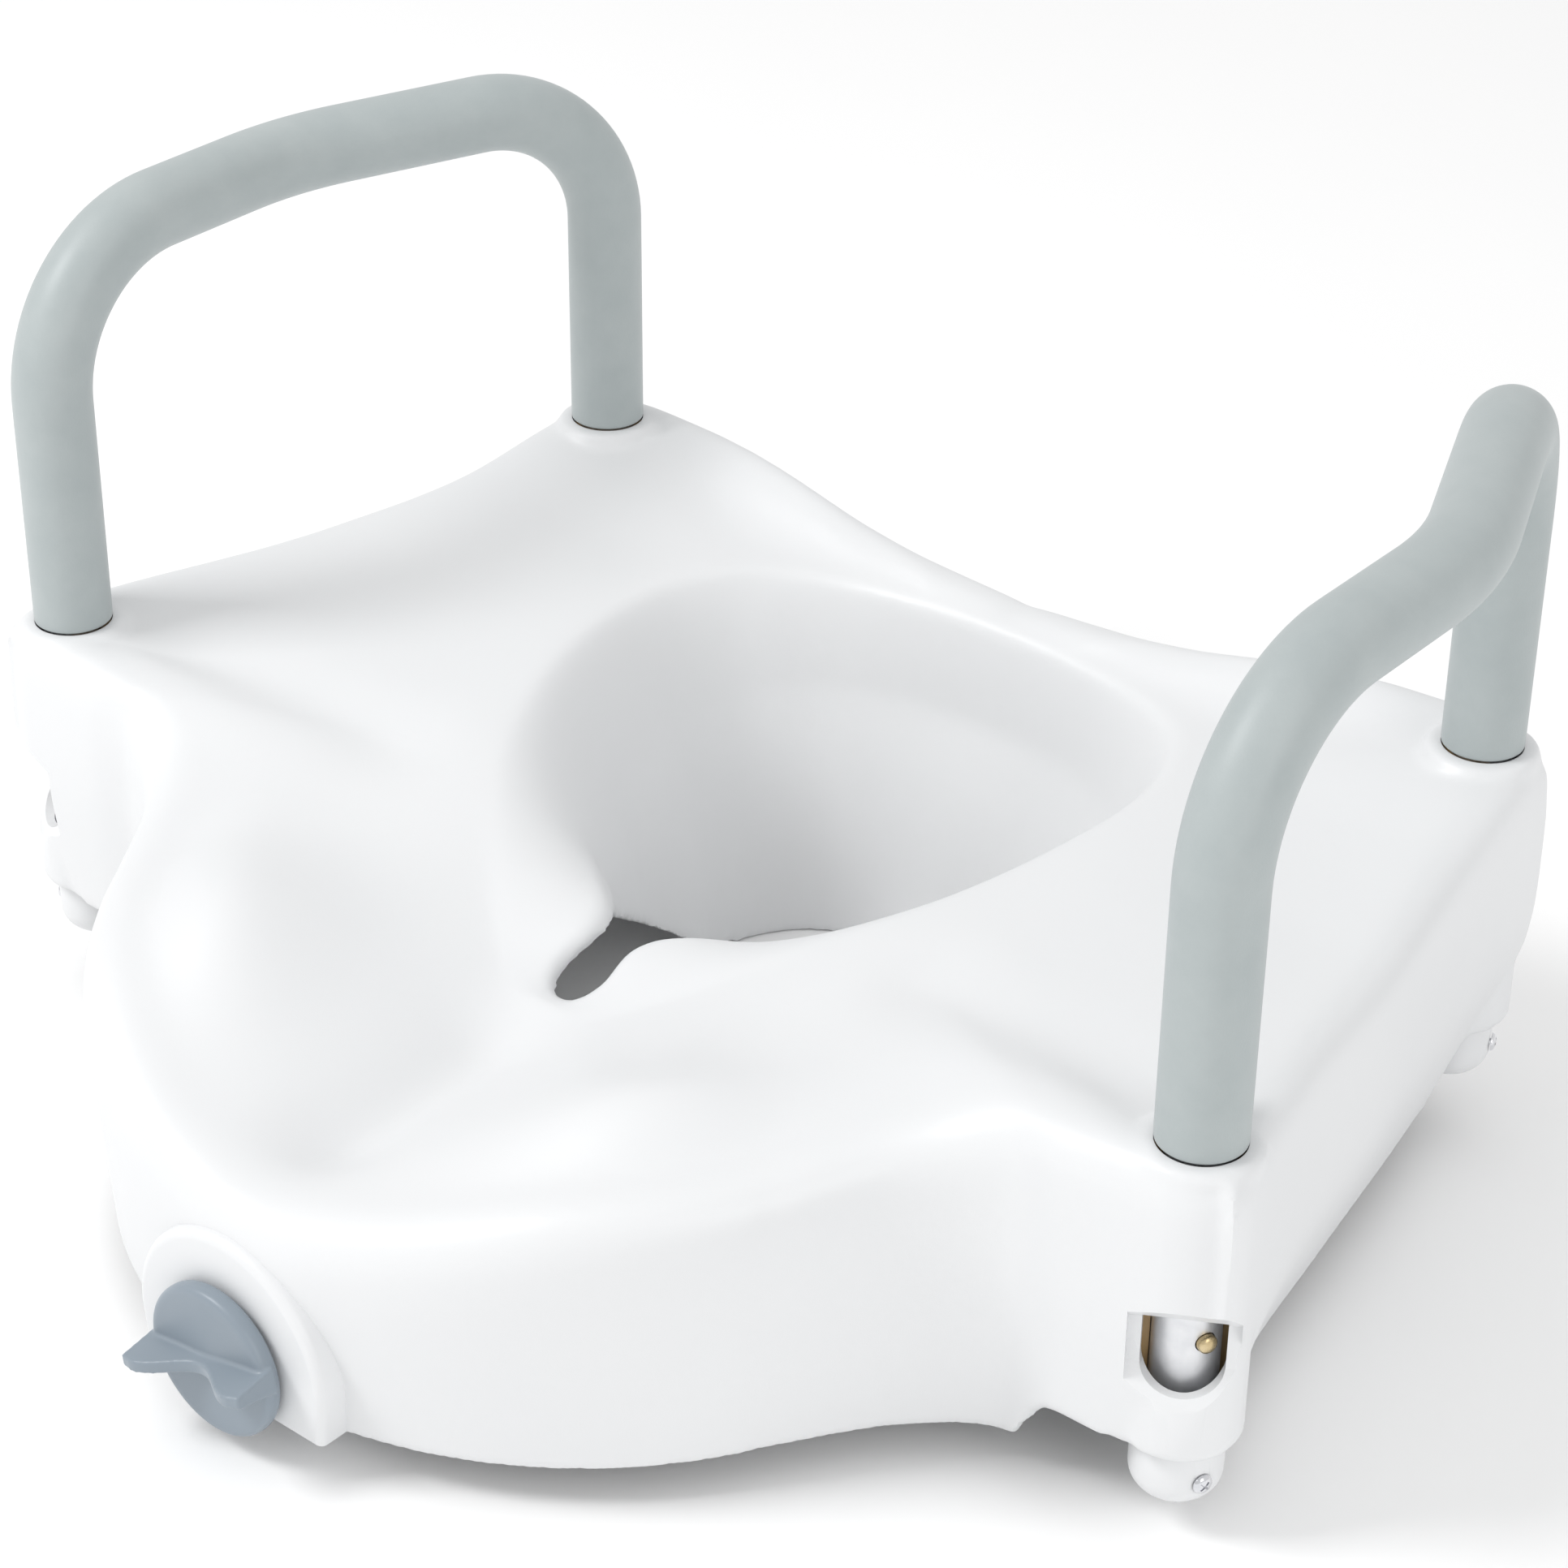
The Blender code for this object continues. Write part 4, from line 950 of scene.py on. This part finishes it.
def cap_screw(name):
    """A pan-head screw with a cross recess."""
    shank, head, seat = 0.0013, 0.0033, 0.0153
    turns = np.radians(np.linspace(90, 8, 8))
    crown = [(head * math.cos(t), seat + 0.0002 + 0.0016 * math.sin(t)) for t in turns]
    crown[0] = (0, seat + 0.0018)
    body = [(head, seat), (shank, seat), (shank, 0.0060), (0, 0.0050)]
    made = add("screw", outward_faces(turned_mesh("screw", crown + body, 48)))
    arms = []
    for turn in (0.35, 0.35 + math.pi / 2):
        half, width, deep = 0.0019, 0.00038, seat + 0.0007
        outline = [(-half, -width), (half, -width), (half, width), (-half, width)]
        arms.append(prism("slot", outline, deep, seat + 0.004))
        arms[-1].transform(Matrix.Rotation(turn, 4, "Z"))
    cross = add("cross", outward_faces(join_meshes("cross", arms)))
    boolean(made, cross, "DIFFERENCE")
    made.modifiers[-1].use_self = True
    mesh = evaluated(made)
    bpy.data.objects.remove(cross)
    place = Matrix.Translation(DATUM + LEGS[name] + Vector((0, 0, -SCREW_DEPTH)))
    mesh.transform(place @ stand(outward(name, BUTTON_TURN)))
    made = add(f"cap_screw_fine_{name}", smooth(mesh, 35), BRIGHT)
    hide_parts(f"cap_screw_{name}")
    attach(made, "seat")


# ---------------------------------------------------------------- knob
KNOB_DEPTH = 0.0070
GRIP_TURN = 11.5  # degrees
GRIP_BASE = 0.0030  # where the grip starts inside the disc
GRIP_OVERHANG = 0.0008
GRIP_HALF = (0.0046, 0.0020)  # half thickness at its foot and at its crest
KNOB_VOXEL = 0.00055


def grip_height(share):
    """Height of the grip's crest, by share of its half length: low in the middle."""
    return blend(np.abs(share), [(0, 0.0105), (0.80, 0.0200), (1.0, 0.0190)])


def knob():
    """A round knob with a bow-shaped grip that runs out of its face in soft fillets."""
    edge = KNOB_RADIUS
    profile = rounded([(0, KNOB_DEPTH), (edge, KNOB_DEPTH), (edge, 0), (0, 0)], 0.0030, 6)
    disc = turned_mesh("disc", profile, 96)
    half = edge + GRIP_OVERHANG
    shares = np.linspace(-1, 1, 41)
    crest = [(half * s, float(grip_height(s))) for s in shares]
    points, faces = [], []
    thick, thin = GRIP_HALF
    for x, top in crest:
        for y, z in ((-thick, GRIP_BASE), (-thin, top), (thin, top), (thick, GRIP_BASE)):
            points.append((x, y, z))
    for k in range(len(crest) - 1):
        for j in range(4):
            a, b = 4 * k + j, 4 * k + (j + 1) % 4
            faces.append((a, b, b + 4, a + 4))
    faces += [(0, 1, 2, 3), tuple(4 * (len(crest) - 1) + j for j in (3, 2, 1, 0))]
    grip = outward_faces(mesh_of("grip", points, faces))
    grip.transform(Matrix.Rotation(math.radians(GRIP_TURN), 4, "Z"))
    made = add("knob", join_meshes("knob", [outward_faces(disc), grip]))
    remesh = made.modifiers.new("weld", "REMESH")
    remesh.mode = "VOXEL"
    remesh.voxel_size = KNOB_VOXEL
    mesh = evaluated(made)
    relax(mesh, 30)
    made = add("knob", mesh)
    hub = [(0, 0.0058), (SHAFT_HOLE_RADIUS, 0.0058), (SHAFT_HOLE_RADIUS, -0.01), (0, -0.01)]
    tool = add("hub", outward_faces(turned_mesh("hub", hub, 48)))
    boolean(made, tool, "DIFFERENCE")
    mesh = evaluated(made)
    bpy.data.objects.remove(tool)
    mesh.transform(Matrix.Translation(DATUM + Vector((0, KNOB_BACK, AXIS_Z))) @ stand((0, -1, 0)))
    made = add("clamp_knob_fine", smooth(mesh, 50), KNOB_GREY)
    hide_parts("clamp_knob")
    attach(made, "knob")


# ---------------------------------------------------------------- camera, floor and light
CAMERA_AZIMUTH = 39.622
CAMERA_ELEVATION = 30.369
CAMERA_ROLL = 0.612
CAMERA_PLACE = Vector((0.7316, -0.8949, 0.6495))  # from the datum
CAMERA_LENS = 86.6  # mm
CAMERA_SENSOR = 36  # mm
FLOOR_HALF = 9.0
WORLD_STRENGTH = 0.80
LIGHT_TARGET = (0, 0, 0.12)


def camera():
    turn, rise, roll = (math.radians(a) for a in (CAMERA_AZIMUTH, CAMERA_ELEVATION, CAMERA_ROLL))
    back = Vector((math.sin(turn) * math.cos(rise), -math.cos(turn) * math.cos(rise), math.sin(rise)))
    right = (-back).cross(Vector((0, 0, 1))).normalized()
    down = (-back).cross(right)
    level_right, level_down = right.copy(), down.copy()
    right = math.cos(roll) * level_right - math.sin(roll) * level_down
    down = math.sin(roll) * level_right + math.cos(roll) * level_down
    data = bpy.data.cameras.new("camera")
    data.lens = CAMERA_LENS
    data.sensor_width = CAMERA_SENSOR
    made = bpy.data.objects.new("camera", data)
    bpy.context.scene.collection.objects.link(made)
    basis = Matrix((right, -down, back)).transposed().to_4x4()
    made.matrix_world = Matrix.Translation(DATUM + CAMERA_PLACE) @ basis
    bpy.context.scene.camera = made


def area_light(name, place, size, power):
    data = bpy.data.lights.new(name, "AREA")
    data.shape = "RECTANGLE"
    data.size, data.size_y = size
    data.energy = power
    made = bpy.data.objects.new(name, data)
    bpy.context.scene.collection.objects.link(made)
    made.location = place
    aim = Vector(LIGHT_TARGET) - Vector(place)
    made.rotation_euler = aim.to_track_quat("-Z", "Y").to_euler()


def studio():
    """A pale floor that runs far behind the object, under a bright even sky."""
    made, tree, shader = new_material("floor_paint", (0.97, 0.97, 0.97), 0.9)
    mottle = noise(tree, 3.0, 2.0)
    paint = ramp(tree, mottle, 0.3, 0.7, (0.965, 0.965, 0.965), (0.975, 0.975, 0.975))
    tree.links.new(paint, shader.inputs["Base Color"])
    half = FLOOR_HALF
    grid = [(-half, -half, 0), (half, -half, 0), (half, half, 0), (-half, half, 0)]
    floor = add("floor", mesh_of("floor", grid, [(0, 1, 2, 3)]), made)
    world = bpy.data.worlds.new("studio")
    bpy.context.scene.world = world
    world.use_nodes = True
    background = world.node_tree.nodes["Background"]
    background.inputs["Color"].default_value = (1.0, 1.0, 1.0, 1)
    background.inputs["Strength"].default_value = WORLD_STRENGTH
    area_light("key", (-1.1, -1.3, 2.0), (0.8, 0.8), 29)
    area_light("fill", (2.0, -0.7, 1.1), (0.9, 1.4), 8)
    bpy.context.scene.view_settings.view_transform = "Standard"


camera()
studio()
seat_shell()
for side, sign in (("left", -1), ("right", 1)):
    arm_sleeve(side, sign)
    arm_tube(side, sign)
for leg in LEG_NAMES:
    snap_button(leg)
    socket_cap(leg)
    cap_screw(leg)
knob()
